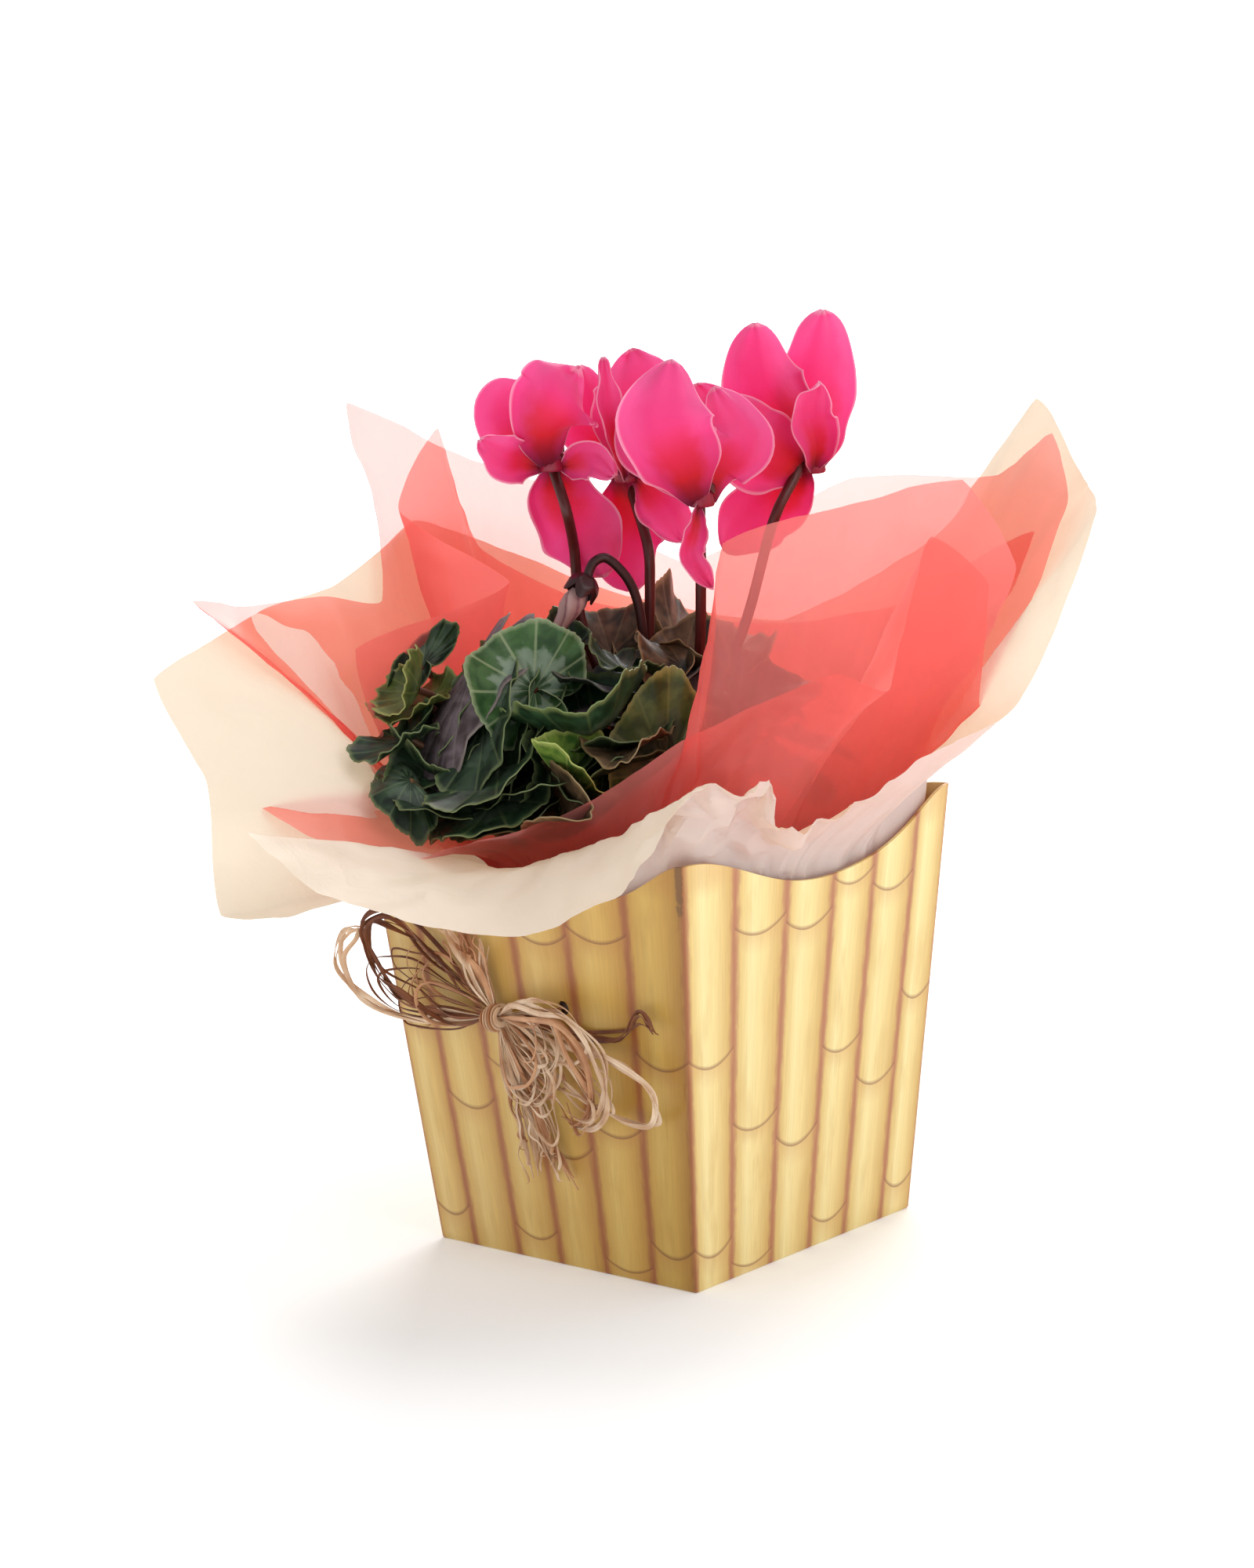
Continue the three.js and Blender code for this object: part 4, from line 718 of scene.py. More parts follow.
def wrap_piece(name, flaps, columns, floor, inset, crush, seed, wraps):
    """A square sheet gathered into the box: a floor, four walls and a rising frill of flaps."""
    floor_rows, wall_rows, flap_rows = 4, 10, 34
    rows = floor_rows + wall_rows + flap_rows
    flaps = np.array([(*flap, FLAP_PULL)[:6] for flap in flaps], float)
    wall, tip, lift, pull = flap_values(flaps, columns)
    root = bag_point(wall, rim_at(wall) + BAG_OVER_RIM, inset)
    rise = root + lift[:, None] * (0.09 * unit(root * (1, 1, 0)) + np.array((0, 0, 1)))
    turn = tip + (rise - tip) * pull[:, None]
    foot = bag_point(wall, floor, inset + BAG_FOOT_IN)
    net = np.empty((rows + 1, columns + 1, 3))
    for row in range(rows + 1):
        up_wall = row - floor_rows
        if up_wall <= 0:
            net[row] = np.array((0, 0, floor)) + (foot - (0, 0, floor)) * row / floor_rows
        elif up_wall <= wall_rows:
            net[row] = foot + (root - foot) * (up_wall / wall_rows)
        else:
            net[row] = bezier(root, rise, turn, tip, np.full(columns + 1, (up_wall - wall_rows) / flap_rows))
    net[:, -1] = net[:, 0]
    along, across = np.gradient(net, axis=0), np.gradient(net, axis=1)
    across[:, 0] = across[:, -1] = (net[:, 1] - net[:, -2]) / 2
    normal = unit(np.cross(across, along))
    share = (np.arange(rows + 1) - floor_rows - wall_rows) / flap_rows
    in_flap = np.clip(share, 0, 1)[:, None]
    in_wall = np.clip((share + 0.15) / 0.15, 0, 1)[:, None]
    # gathers at the rim, which fade towards the tips, and crumpled facets and waves in the flaps
    phase = 1.3 * np.sin(np.radians(5 * wall) + seed) + 0.8 * np.sin(np.radians(11 * wall) + 2 * seed)
    pleats = np.sin(np.radians(34 * wall) + 2.2 * phase) ** 3
    points, shape = net.reshape(-1, 3), net.shape[:2]
    facets = creases(points, 26, seed).reshape(shape)
    waves = roughness_field(points, 34, seed).reshape(shape)
    crumple = wraps.crumple / MM
    height = (wraps.pleat / MM * pleats * in_wall * (1 - 0.85 * in_flap)
              + crumple * (facets - 0.35) * in_flap**0.5 + 0.8 * crumple * waves * in_flap)
    # the flap over the front corner was crushed in the hand
    crushed = np.exp(-(((wall - CRUSHED[0] + 180) % 360 - 180) / CRUSHED[1]) ** 2)
    small = creases(points, 15, seed + 5).reshape(shape)
    height = height + crush * crushed * (small - 0.12) * in_flap**0.3
    height[:, -1] = height[:, 0]
    net += normal * height[..., None]
    return weld(grid_piece(name, columns, rows, lambda u, v: net[
        np.round(v * rows).astype(int), np.round(u * columns).astype(int)]))


def coral_film(add):
    """Thin dyed polypropylene film: glossy, pale where it is single and deep coral where it lies in layers."""
    # fine stretch marks about 3 mm apart
    marks = add("TexNoise", add("TexCoord").outputs["Object"], Scale=1 / (9 * MM), Detail=3.0, Distortion=0.6)
    bump = add("Bump", Height=marks, Strength=0.12, Distance=0.0008)
    gloss = add("BsdfPrincipled", "#F87870", Roughness=0.3, Normal=bump, Specular_IOR_Level=0.6)
    body = add("MixShader", 0.68, gloss, add("BsdfTranslucent", "#FFA29C", Normal=bump))
    return add("MixShader", 0.38, body, add("BsdfTransparent", "#FFD2CE"))


def cream_paper(add):
    """Thin cream wrapping paper: soft satin, lets light through, with fine fibres and cockles of about 5 mm."""
    place = add("TexCoord").outputs["Object"]
    fibres = add("TexNoise", place, Scale=1 / (1.2 * MM), Detail=4.0)
    cockle = add("TexNoise", place, Scale=1 / (14 * MM), Detail=4.0, Distortion=0.8)
    relief = add("Math", fibres, 0.06, cockle, operation="MULTIPLY_ADD")
    bump = add("Bump", Height=relief, Strength=0.35, Distance=0.002)
    skin = add("BsdfPrincipled", "#EAE4DC", Roughness=0.4, Normal=bump, Specular_IOR_Level=0.35)
    return add("MixShader", 0.42, skin, add("BsdfTranslucent", "#F8DFBA", Normal=bump))


class CyclamenWraps(bpy.types.PropertyGroup):
    """Sizes of the paper and the film."""
    crumple: bpy.props.FloatProperty(
        name="Crumple", description="Height of the crumpled facets in the flaps", default=1.6 * MM, min=0,
        max=6 * MM, subtype="DISTANCE", unit="LENGTH")
    pleat: bpy.props.FloatProperty(
        name="Pleat", description="Depth of the gathers at the box's rim", default=0.7 * MM, min=0, max=1 * MM,
        subtype="DISTANCE", unit="LENGTH")
    cut: bpy.props.FloatProperty(
        name="Cut", description="Side of the square that each sheet was cut to", default=0.38, min=0.3, max=0.7,
        subtype="DISTANCE", unit="LENGTH")


class OBJECT_OT_cyclamen_wraps(bpy.types.Operator):
    """Gathers the cream paper and the two coral films into the box"""
    bl_idname = "object.cyclamen_wraps"
    bl_label = "Paper and film"

    def execute(self, context):
        wraps = context.scene.cyclamen_wraps
        skins = {"coral_film": made_of("Polypropylene film, coral", coral_film),
                 "cream_paper": made_of("Wrapping paper, cream", cream_paper)}
        for name, node, slot, *shape in WRAPS:
            piece = wrap_piece(name, *shape, wraps)
            finish(piece, slot, skins[slot], nodes=[node], smooth=30)
        return {"FINISHED"}


# ==================== the pot, its soil and the corm ====================
def moulded_plastic(add):
    """Injection-moulded polypropylene, terracotta: satin, with a fine spark-eroded grain and broad dusty patches."""
    place = add("TexCoord").outputs["Object"]
    grain = add("TexNoise", place, Scale=1 / (0.7 * MM), Detail=3.0)
    dust = add("TexNoise", place, Scale=1 / (22 * MM), Detail=4.0)
    colour = add("ValToRGB", dust, stops=((0.35, "#7B3F26"), (0.75, "#9A6A4E")))
    bump = add("Bump", Height=grain, Strength=0.1, Distance=0.0003)
    return add("BsdfPrincipled", colour, Roughness=0.45, Normal=bump)


def peat(add):
    """Damp peat with bark and a few pale specks of perlite, 6 mm apart."""
    place = add("TexCoord").outputs["Object"]
    clods = add("TexNoise", place, Scale=1 / (2.5 * MM), Detail=6.0, Roughness=0.7)
    colour = add("ValToRGB", clods, stops=((0.3, "#1B110B"), (0.62, "#3E2A1B"), (0.82, "#6B4E34")))
    specks = add("MapRange", add("TexVoronoi", place, Scale=1 / (6 * MM)), 0.16, 0.1)
    bump = add("Bump", Height=clods, Strength=0.9, Distance=0.002)
    return add("BsdfPrincipled", add("Mix", specks, colour, "#D8CDB8"), Roughness=0.95, Normal=bump)


def corm_skin(add):
    """The corm's corky brown skin."""
    cork = add("TexNoise", add("TexCoord").outputs["Object"], Scale=1 / (3 * MM), Detail=6.0, Distortion=0.8)
    colour = add("ValToRGB", cork, stops=((0.3, "#3A2419"), (0.55, "#6A4A36"), (0.8, "#9A7A5E")))
    bump = add("Bump", Height=cork, Strength=0.6, Distance=0.0015)
    return add("BsdfPrincipled", colour, Roughness=0.85, Normal=bump)


class OBJECT_OT_cyclamen_pot(bpy.types.Operator):
    """Moulds the grow pot and fills it with peat"""
    bl_idname = "object.cyclamen_pot"
    bl_label = "Grow pot and soil"

    def execute(self, context):
        rim, neck = POT_TOP_RADIUS + POT_LIP, POT_TOP_RADIUS - 1
        top, floor = POT_FOOT + POT_HEIGHT, POT_FOOT + POT_WALL
        band, base = top - POT_BAND, POT_BASE_RADIUS - POT_WALL
        pot = lathe_piece("grow_pot_body", (
            (0, POT_FOOT), (20, POT_FOOT), (POT_BASE_RADIUS - 1, POT_FOOT), (POT_BASE_RADIUS, POT_FOOT + 1),
            (neck, band), (rim - 0.3, band), (rim, band + 0.6), (rim, top - 0.5), (rim - 0.5, top),
            (rim - POT_WALL, top), (neck - POT_WALL, band - 1), (base, floor), (0, floor)), 96)
        finish(pot, "pot", made_of("Moulded polypropylene, terracotta", moulded_plastic), nodes=["grow_pot"],
               smooth=35)
        rings = [(0, floor + SOIL_GAP), (base - SOIL_GAP, floor + SOIL_GAP), (POT_TOP_RADIUS - 4.6, SOIL_TOP - 6)]
        rings += [(r, SOIL_TOP - 1.5 + 2.5 * (1 - r / 52)) for r in range(51, 25, -2)]
        soil = lathe_piece("potting_soil_body", rings + [(0, SOIL_TOP + 1)], 110, wobble=1.6, seed=4, size=5)
        finish(soil, "soil", made_of("Peat compost", peat), nodes=["potting_soil"])
        return {"FINISHED"}


class OBJECT_OT_cyclamen_corm(bpy.types.Operator):
    """Grows the corm that every stalk stands on"""
    bl_idname = "object.cyclamen_corm"
    bl_label = "Corm"

    def execute(self, context):
        outline = [(radius, CORM_TOP - below) for radius, below in CORM_OUTLINE]
        outline += [(radius, STALK_FOOT) for radius in (20.5, 16, 12, 8, 4, 0)]
        corm = lathe_piece("corm_body", outline, 72, wobble=0.5, seed=9, size=6)
        finish(corm, "corm", made_of("Corky corm skin", corm_skin), nodes=["corm"])
        return {"FINISHED"}


# ==================== the leaves ====================
def read_leaves():
    """Each leaf row as its junction, the blade's own directions and the foot of its stalk."""
    leaves = []
    for number, (tier, junction, tip, width, roll, *form) in enumerate(LEAVES, 1):
        cup, fold, wave = form or LEAF_FORM
        start, end = around(*junction), around(*tip)
        ahead = unit(end - start)
        normal = (start - CROWN) - ahead * ((start - CROWN) @ ahead)
        normal = rotated(unit(normal), ahead, roll)
        leaves.append({
            "number": number, "tier": tier, "bearing": junction[0], "junction": start, "ahead": ahead,
            "length": np.linalg.norm(end - start), "normal": normal, "side": np.cross(normal, ahead),
            "width": width, "cup": cup + CUPPED.get(number, 0), "fold": fold, "wave": wave,
            "phase": number - 1, "held": HELD_IN.get(number, 1)})
    for tier, reach in FOOT_RING.items():
        ring = sorted((leaf for leaf in leaves if leaf["tier"] == tier), key=lambda leaf: leaf["bearing"])
        turns = [math.radians(leaf["bearing"] - 360 * k / len(ring)) for k, leaf in enumerate(ring)]
        start = math.degrees(math.atan2(sum(map(math.sin, turns)), sum(map(math.cos, turns))))
        for k, leaf in enumerate(ring):
            leaf["foot"] = around(start + 360 * k / len(ring), reach, STALK_BASE)
    return leaves


def blade_piece(leaf, settings):
    """A heart-shaped blade drawn round its junction, with fine teeth, a frilled margin and raised veins."""
    phase, size = leaf["phase"], math.sqrt(leaf["length"] * leaf["width"])
    frill = settings.frill / MM

    def place(u, v):
        angle = (2 * u - 1) * math.pi
        forward, across = np.cos(angle), np.sin(angle)
        notch = np.minimum(1, (math.pi - np.abs(angle)) / math.radians(32))
        opened = 0.14 + 0.86 * np.sqrt(np.maximum(notch * (2 - notch), 0))
        run = np.where(forward > 0, 1 + 0.1 * forward**8, 0.72)
        tooth = 1 + 0.022 * np.abs(np.sin(angle * LEAF_TEETH / 2)) * v**6
        tooth += 0.03 * v**3 * np.sin(5 * angle + phase) + 0.02 * v**3 * np.sin(9 * angle + 2 * phase)
        share = v * tooth * (settings.spread * leaf["held"])
        x = share * opened * run * leaf["length"] * forward
        y = share * opened * leaf["width"] * across / 2
        height = leaf["cup"] * share**2 + leaf["fold"] * np.abs(share * across)
        height += leaf["wave"] * share**2 * np.sin(3 * angle + phase)
        height += frill * v**4 * np.sin(11 * angle + 1.7 * phase) + 0.35 * frill * v**6 * np.sin(23 * angle + phase)
        swing = np.cos(angle * LEAF_VEINS)
        height -= 0.011 * size * swing**8 * np.clip(1.3 - v, 0, 1) * np.minimum(1, 4 * v)
        height += 0.012 * size * (1 - swing) / 2 * v * (1 - v) * 3
        return (leaf["junction"] + x[:, None] * leaf["ahead"] + y[:, None] * leaf["side"]
                + height[:, None] * leaf["normal"])

    blade = weld(grid_piece("blade", 132, 22, place))
    mean = sum((face.normal * face.area for face in blade.data.polygons), Vector())
    if mean @ Vector(leaf["normal"]) < 0:
        in_edit_mode(blade, lambda: bpy.ops.mesh.flip_normals())
    return add_modifier(blade, "SOLIDIFY", thickness=LEAF_THICKNESS * MM, offset=-1, material_offset=1,
                        material_offset_rim=0)


def younger(leaf):
    """The younger leaf under a leaf: lower, nearer the crown and turned a little aside."""
    ahead = rotated(leaf["ahead"], leaf["normal"], -YOUNGER_TURN if leaf["number"] % 2 else YOUNGER_TURN)
    return {**leaf, "phase": leaf["phase"] + 50, "ahead": ahead, "side": np.cross(leaf["normal"], ahead),
            "junction": leaf["junction"] + YOUNGER_TUCK * (YOUNGER_AIM - leaf["junction"]),
            "length": max(leaf["length"], YOUNGER_SIZE[0]), "width": max(leaf["width"], YOUNGER_SIZE[1]),
            "cup": YOUNGER_CUP, "fold": 0, "held": 1}


def stalk_path(leaf):
    """A petiole rises straight from its foot and leans out to the blade's notch."""
    foot, junction, normal, (under, behind) = leaf["foot"], leaf["junction"], leaf["normal"], PETIOLE_END
    return bezier(foot, foot + (0, 0, PETIOLE_RISE), junction - under * normal - behind * leaf["ahead"],
                  junction - 0.1 * normal, np.linspace(0, 1, 25))


def leaf_skin(add, dark, light, silver, margin, vein_share, roughness=0.42, glow="#7F9A3A"):
    """Thick leaf with a waxy satin face: marbled between the veins, paler along the toothed margin."""
    spot = add("TexCoord").outputs["Object"]
    place = add("SeparateXYZ", add("UVMap"))
    out = place.outputs[1]
    # the pale veins fan out from the stalk
    turn = add("Math", place, 2.0, -1.0, operation="MULTIPLY_ADD")
    swing = add("Math", add("Math", turn, LEAF_VEINS * math.pi, operation="MULTIPLY"), operation="COSINE")
    crest = add("Math", swing, operation="ABSOLUTE")
    vein = add("MapRange", crest, add("MapRange", out, 0.0, 0.8, 0.9, 0.985), 1.0, 0.0, vein_share)
    # marbling: cells of about 5 mm between the veins
    mottle = add("TexNoise", spot, Scale=1 / (7 * MM), Detail=5.0, Distortion=0.5)
    body = add("ValToRGB", mottle, stops=((0.36, dark), (0.66, light)))
    # the silver band lies half way out and points outwards along each vein
    wander = add("TexNoise", spot, Scale=1 / (4 * MM), Detail=3.0)
    band = add("Math", crest, 0.16, out, operation="MULTIPLY_ADD")
    ragged = add("Math", wander, 0.5, band, operation="MULTIPLY_ADD")
    silvered = add("ValToRGB", ragged, stops=((0.55, "#000000"), (1.0, "#000000"), (0.68, "#FFFFFF"),
                                              (0.9, "#E0E0E0")))
    marbled = add("Mix", add("Math", silvered, silver, operation="MULTIPLY"), body, "#93A590")
    edged = add("Mix", add("MapRange", out, 0.93, 1.0, 0.0, 0.85), add("Mix", vein, marbled, margin), margin)
    bump = add("Bump", Height=mottle, Strength=0.3, Distance=0.0008)
    skin = add("BsdfPrincipled", edged, Roughness=roughness, Normal=bump, Specular_IOR_Level=0.35)
    return add("MixShader", 0.16, skin, add("BsdfTranslucent", glow))


def stalk_skin(add, low, high):
    """Smooth fleshy stalk: satin, with one colour at its foot that turns to another at the height of the leaves."""
    spot = add("TexCoord").outputs["Object"]
    rise = add("MapRange", add("SeparateXYZ", spot).outputs[2], 0.12, 0.21)
    # streaks about 1 mm wide and 17 mm long
    grain = add("TexNoise", add("Mapping", spot, Scale=(900.0, 900.0, 60.0)), Scale=1.0, Detail=3.0)
    tone = add("MapRange", grain, 0.3, 0.7, 0.8, 1.25)
    toned = add("Mix", 1.0, add("Mix", rise, low, high), tone, blend_type="MULTIPLY")
    bump = add("Bump", Height=grain, Strength=0.15, Distance=0.0004)
    return add("BsdfPrincipled", toned, Roughness=0.4, Normal=bump, Specular_IOR_Level=0.45)


class CyclamenLeaves(bpy.types.PropertyGroup):
    """Size and form of the leaves."""
    spread: bpy.props.FloatProperty(
        name="Spread", description="Size of the blades against the packed ones", default=1.28, min=0.8, max=1.4,
        subtype="FACTOR")
    frill: bpy.props.FloatProperty(
        name="Frill", description="Height of the margin's waves", default=0.9 * MM, min=0, max=4 * MM,
        subtype="DISTANCE", unit="LENGTH")


class OBJECT_OT_cyclamen_leaves(bpy.types.Operator):
    """Grows every leaf with its stalk"""
    bl_idname = "object.cyclamen_leaves"
    bl_label = "Leaves"

    def execute(self, context):
        settings = context.scene.cyclamen_leaves
        skins = {look: made_of(name, leaf_skin, *values) for look, (name, *values) in LEAF_SKINS.items()}
        stalk = made_of("Leaf stalk, red-brown", stalk_skin, "#7A6A3C", "#5E2F24")
        for leaf in read_leaves():
            look = LEAF_LOOKS.get(leaf["number"], "dark")
            back = "dark" if look == "under" else "under"
            parts = [finish(blade_piece(leaf, settings), "leaf", skins[look], skins[back]),
                     finish(tube_piece("petiole", stalk_path(leaf), PETIOLE_RADIUS, 14), "leaf", stalk)]
            if leaf["number"] in HAS_YOUNGER:
                young = blade_piece(younger(leaf), settings)
                parts.append(finish(young, "leaf", skins["dark"], skins["under"]))
            node = f"leaf_{leaf['number']:02d}"
            join_pieces(node + "_grown", parts, node)
        return {"FINISHED"}


# ==================== the blooms and the bud ====================
def petal_piece(mouth, row, number, settings):
    """A petal swept along a curve from the throat: it opens, closes to a point, ruffles and rolls its margins."""
    third, two_thirds, tip, width, cup, facing, wave = row
    lean = unit((np.asarray(third) - mouth) * (1, 1, 0))
    stations = [mouth + lean * (THROAT_RADIUS - 1.2) + (0, 0, 1.2), third, two_thirds, tip]
    face = around(facing, 1.0, 0.0)
    ruffle, widest = settings.ruffle / MM, PETAL_WIDEST

    def place(u, v):
        middle = spline(stations, v)
        tangent = unit(spline(stations, np.minimum(v + 0.01, 1)) - spline(stations, np.maximum(v - 0.01, 0)))
        side = unit(np.cross(tangent, face))
        normal = np.cross(side, tangent)
        across = 2 * u - 1
        opening = 0.2 + 0.8 * np.sin(np.minimum(v / widest, 1) * math.pi / 2)
        closing = np.maximum(1 - 0.99 * np.clip((v - widest) / (1 - widest), 0, 1) ** 2.4, 0.001) ** 0.62
        half = width / 2 * np.where(v < widest, opening, closing) * settings.fullness
        edge = np.abs(across) ** 3
        height = cup * half * across**2 + wave * v * across * np.sin(7 * v + 2 * across + number)
        height += ruffle * edge * v * np.sin(26 * v + 3 * number + across)
        height += 0.5 * ruffle * v**4 * np.sin(9 * across + 2 * number)
        height -= 0.35 * np.exp(-(across / 0.12) ** 2) * (1 - v)
        half = half * (1 + 0.05 * edge * np.sin(17 * v + number)) * (1 - 0.16 * np.clip((v - 0.7) / 0.3, 0, 1))
        middle += side * (0.14 * half * np.sin(math.pi * v) * math.cos(2.4 * number))[:, None]
        # the margins roll over, one side more than the other
        rolled = np.clip((np.abs(across) - 0.66) / 0.34, 0, 1) ** 2 * np.where((across > 0) == (number % 2 > 0), 1, 0.4)
        height += settings.roll * half * rolled * np.sin(math.pi * np.minimum(v * 1.1, 1))
        height -= settings.roll * half * np.clip((v - 0.8) / 0.2, 0, 1) ** 2 * np.cos(2 * across + number)
        return middle + side * (across * half)[:, None] + normal * height[:, None]

    petal = weld(grid_piece("petal", 28, 44, place))
    return add_modifier(petal, "SOLIDIFY", thickness=PETAL_THICKNESS * MM, offset=0)


def petal_skin(add):
    """Thin petal: velvety sheen, lets light through, wine red at its root and heart, with a pale rolled margin."""
    spot = add("TexCoord").outputs["Object"]
    uv = add("UVMap")
    place = add("SeparateXYZ", uv)
    out = place.outputs[1]
    # blotches about 6 mm across shift where the red ends
    blotches = add("TexNoise", spot, Scale=1 / (6 * MM), Detail=2.0)
    shift = add("Math", blotches, 0.2, -0.1, operation="MULTIPLY_ADD")
    aside = add("Math", add("Math", place, 0.5, operation="SUBTRACT"), operation="ABSOLUTE")
    moved = add("Math", aside, shift, operation="ADD")
    heart = add("ValToRGB", out, stops=((0.0, "#6E1034"), (1.0, "#F768B0"), (0.1, "#B01A3C"), (0.26, "#E22C42"),
                                        (0.46, "#EE386C"), (0.64, "#F5509E")))
    sides = add("ValToRGB", out, stops=((0.0, "#8E1848"), (1.0, "#FA7CBC"), (0.18, "#E8408A"), (0.5, "#F75CAC")))
    mixed = add("Mix", add("MapRange", moved, 0.12, 0.4, interpolation_type="SMOOTHSTEP"), heart, sides)
    near_side, near_tip = add("MapRange", aside, 0.468, 0.492), add("MapRange", out, 0.972, 0.992)
    margin = add("Math", near_side, near_tip, operation="MAXIMUM")
    edged = add("Mix", add("Math", margin, 0.75, operation="MULTIPLY"), mixed, "#FDCFE2")
    # veins along the petal with cells of about 1 mm on them
    veins = add("TexNoise", add("Mapping", uv, Scale=(22.0, 2.0, 1.0)), Scale=1.0, Detail=2.0, Distortion=0.3)
    cells = add("TexNoise", spot, Scale=1 / (0.8 * MM), Detail=3.0)
    relief = add("Math", cells, 0.4, veins, operation="MULTIPLY_ADD")
    bump = add("Bump", Height=relief, Strength=0.12, Distance=0.0006)
    skin = add("BsdfPrincipled", edged, Roughness=0.5, Normal=bump, Sheen_Weight=0.2, Specular_IOR_Level=0.3)
    return add("MixShader", 0.5, skin, add("BsdfTranslucent", edged, Normal=bump))


def calyx_piece(top, ahead, radius, length):
    """A cup of five pointed sepals along the axis from top."""
    ahead, side, other = axis_frame((0, 0, 0), ahead)

    def place(u, v):
        lobe = np.abs(np.sin(5 * math.pi * u))
        reach = v * (length * (0.55 + 0.45 * lobe))
        swell = radius * np.sqrt(np.minimum(1, v * 1.8)) * (1 + 0.05 * lobe)
        return top + reach[:, None] * ahead + swell[:, None] * round_about(u, side, other)

    calyx = weld(grid_piece("calyx", 60, 10, place))
    return add_modifier(calyx, "SOLIDIFY", thickness=CALYX_THICKNESS * MM, offset=1)


def stem_path(bloom, mouth):
    """The flower stem stands up from the corm and hooks over behind the bloom."""
    beside = around(bloom["hook"], 1.0, 0.0)
    calyx = mouth + (0, 0, THROAT_HEIGHT + 2.6)
    hook = [calyx, calyx + (0, 0, 4) + 1.2 * beside, calyx + (0, 0, 3.4) + 5.4 * beside,
            mouth + 6.8 * beside + (0, 0, 3)]
    foot = around(bloom["foot"], STEM_RING, STALK_BASE)
    return spline([*hook, *bloom["stem"], foot + (0, 0, STEM_RISE), foot], np.linspace(0, 1, 110))


def bud_piece():
    """Five furled petals twisted round each other into a point."""
    ahead, side, other = axis_frame(BUD_CALYX, BUD_TIP)
    length = np.linalg.norm(np.subtract(BUD_TIP, BUD_CALYX))
    profile = np.array(((0, 4.6), (3.0, 5.0), (3.9, 8.5), (3.7, 12), (2.7, 16), (1.4, length - 1), (0, length + 0.4)))

    def place(u, v):
        where = v * (len(profile) - 1)
        k = np.minimum(where.astype(int), len(profile) - 2)
        t = (where - k)[:, None]
        radius, along = (profile[k] * (1 - t) + profile[k + 1] * t).T
        radius = radius * (1 + 0.16 * np.mod(5 * (u + BUD_TWIST * v), 1) * np.minimum(1, 4 * v))
        return BUD_CALYX + along[:, None] * ahead + radius[:, None] * round_about(u, side, other)

    return weld(grid_piece("bud_petals", 60, 36, place))


def bud_skin(add):
    """The bud's outer petals before they colour: pinkish brown-white, with red along their edges."""
    place = add("SeparateXYZ", add("UVMap"))
    twist = add("Math", place.outputs[1], BUD_TWIST, place, operation="MULTIPLY_ADD")
    part = add("Math", add("Math", twist, 5.0, operation="MULTIPLY"), operation="FRACT")
    colour = add("ValToRGB", part, stops=((0.0, "#8E5A62"), (1.0, "#A8686E"), (0.2, "#B98E8A"), (0.8, "#C8A49E")))
    skin = add("BsdfPrincipled", colour, Roughness=0.5, Sheen_Weight=0.2)
    return add("MixShader", 0.25, skin, add("BsdfTranslucent", colour))


def grow_stem(path, radius, calyx, skin, node):
    """A stem with its calyx, as one piece that stands for the CAD stem."""
    parts = [finish(piece, "stem", skin) for piece in (tube_piece("stem", path, radius, 20), calyx_piece(*calyx))]
    join_pieces(node + "_grown", parts, node)


class CyclamenBlooms(bpy.types.PropertyGroup):
    """Form of the petals."""
    roll: bpy.props.FloatProperty(
        name="Roll", description="How far the margins roll over, as a share of half the width", default=0.34,
        min=0, max=1, subtype="FACTOR")
    ruffle: bpy.props.FloatProperty(
        name="Ruffle", description="Height of the petals' margin waves", default=1.2 * MM, min=0, max=3 * MM,
        subtype="DISTANCE", unit="LENGTH")
    fullness: bpy.props.FloatProperty(
        name="Fullness", description="Width of the petals against the packed ones", default=1.1, min=0.7, max=1.3,
        subtype="FACTOR")


class OBJECT_OT_cyclamen_blooms(bpy.types.Operator):
    """Grows the four blooms on their stems"""
    bl_idname = "object.cyclamen_blooms"
    bl_label = "Blooms"

    def execute(self, context):
        settings = context.scene.cyclamen_blooms
        petal = made_of("Cyclamen petal, pink", petal_skin)
        throat = made_of("Bloom throat, wine red", stalk_skin, "#6E1230", "#8A1634")
        stem = made_of("Flower stem, dark wine", stalk_skin, "#6B4A34", "#4A1412")
        for k, bloom in enumerate(BLOOMS):
            mouth = np.asarray(bloom["mouth"], float)
            cup = lathe_piece("throat", THROAT, 40)
            set_points(cup, values_of(cup.data.vertices, "co", 3) / MM + mouth)
            parts = [finish(cup, "petal", throat)]
            for n, row in enumerate(bloom["petals"]):
                parts.append(finish(petal_piece(mouth, row, k + n, settings), "petal", petal))
            join_pieces(f"bloom_{k + 1}_grown", parts, f"bloom_{k + 1}")
            calyx = (mouth + (0, 0, THROAT_HEIGHT + 3.2), (0, 0, -1), 4.4, 6.5)
            grow_stem(stem_path(bloom, mouth), STEM_RADIUS, calyx, stem, f"bloom_stem_{k + 1}")
        return {"FINISHED"}


class OBJECT_OT_cyclamen_bud(bpy.types.Operator):
    """Grows the nodding bud"""
    bl_idname = "object.cyclamen_bud"
    bl_label = "Bud"

    def execute(self, context):
        finish(bud_piece(), "petal", made_of("Cyclamen petal, furled", bud_skin), nodes=["bud"])
        foot = around(BUD_FOOT, STEM_RING, STALK_BASE)
        path = spline([BUD_CALYX, *BUD_STEM, foot + (0, 0, STEM_RISE), foot], np.linspace(0, 1, 90))
        ahead = axis_frame(BUD_CALYX, BUD_TIP)[0]
        grow_stem(path, STEM_RADIUS - 0.2, (BUD_CALYX - 1.5 * ahead, ahead, 5.2, 8.5),
                  made_of("Bud stem and calyx, dark wine", stalk_skin, "#6B4A34", "#2E0D0E"), "bud_stem")
        return {"FINISHED"}


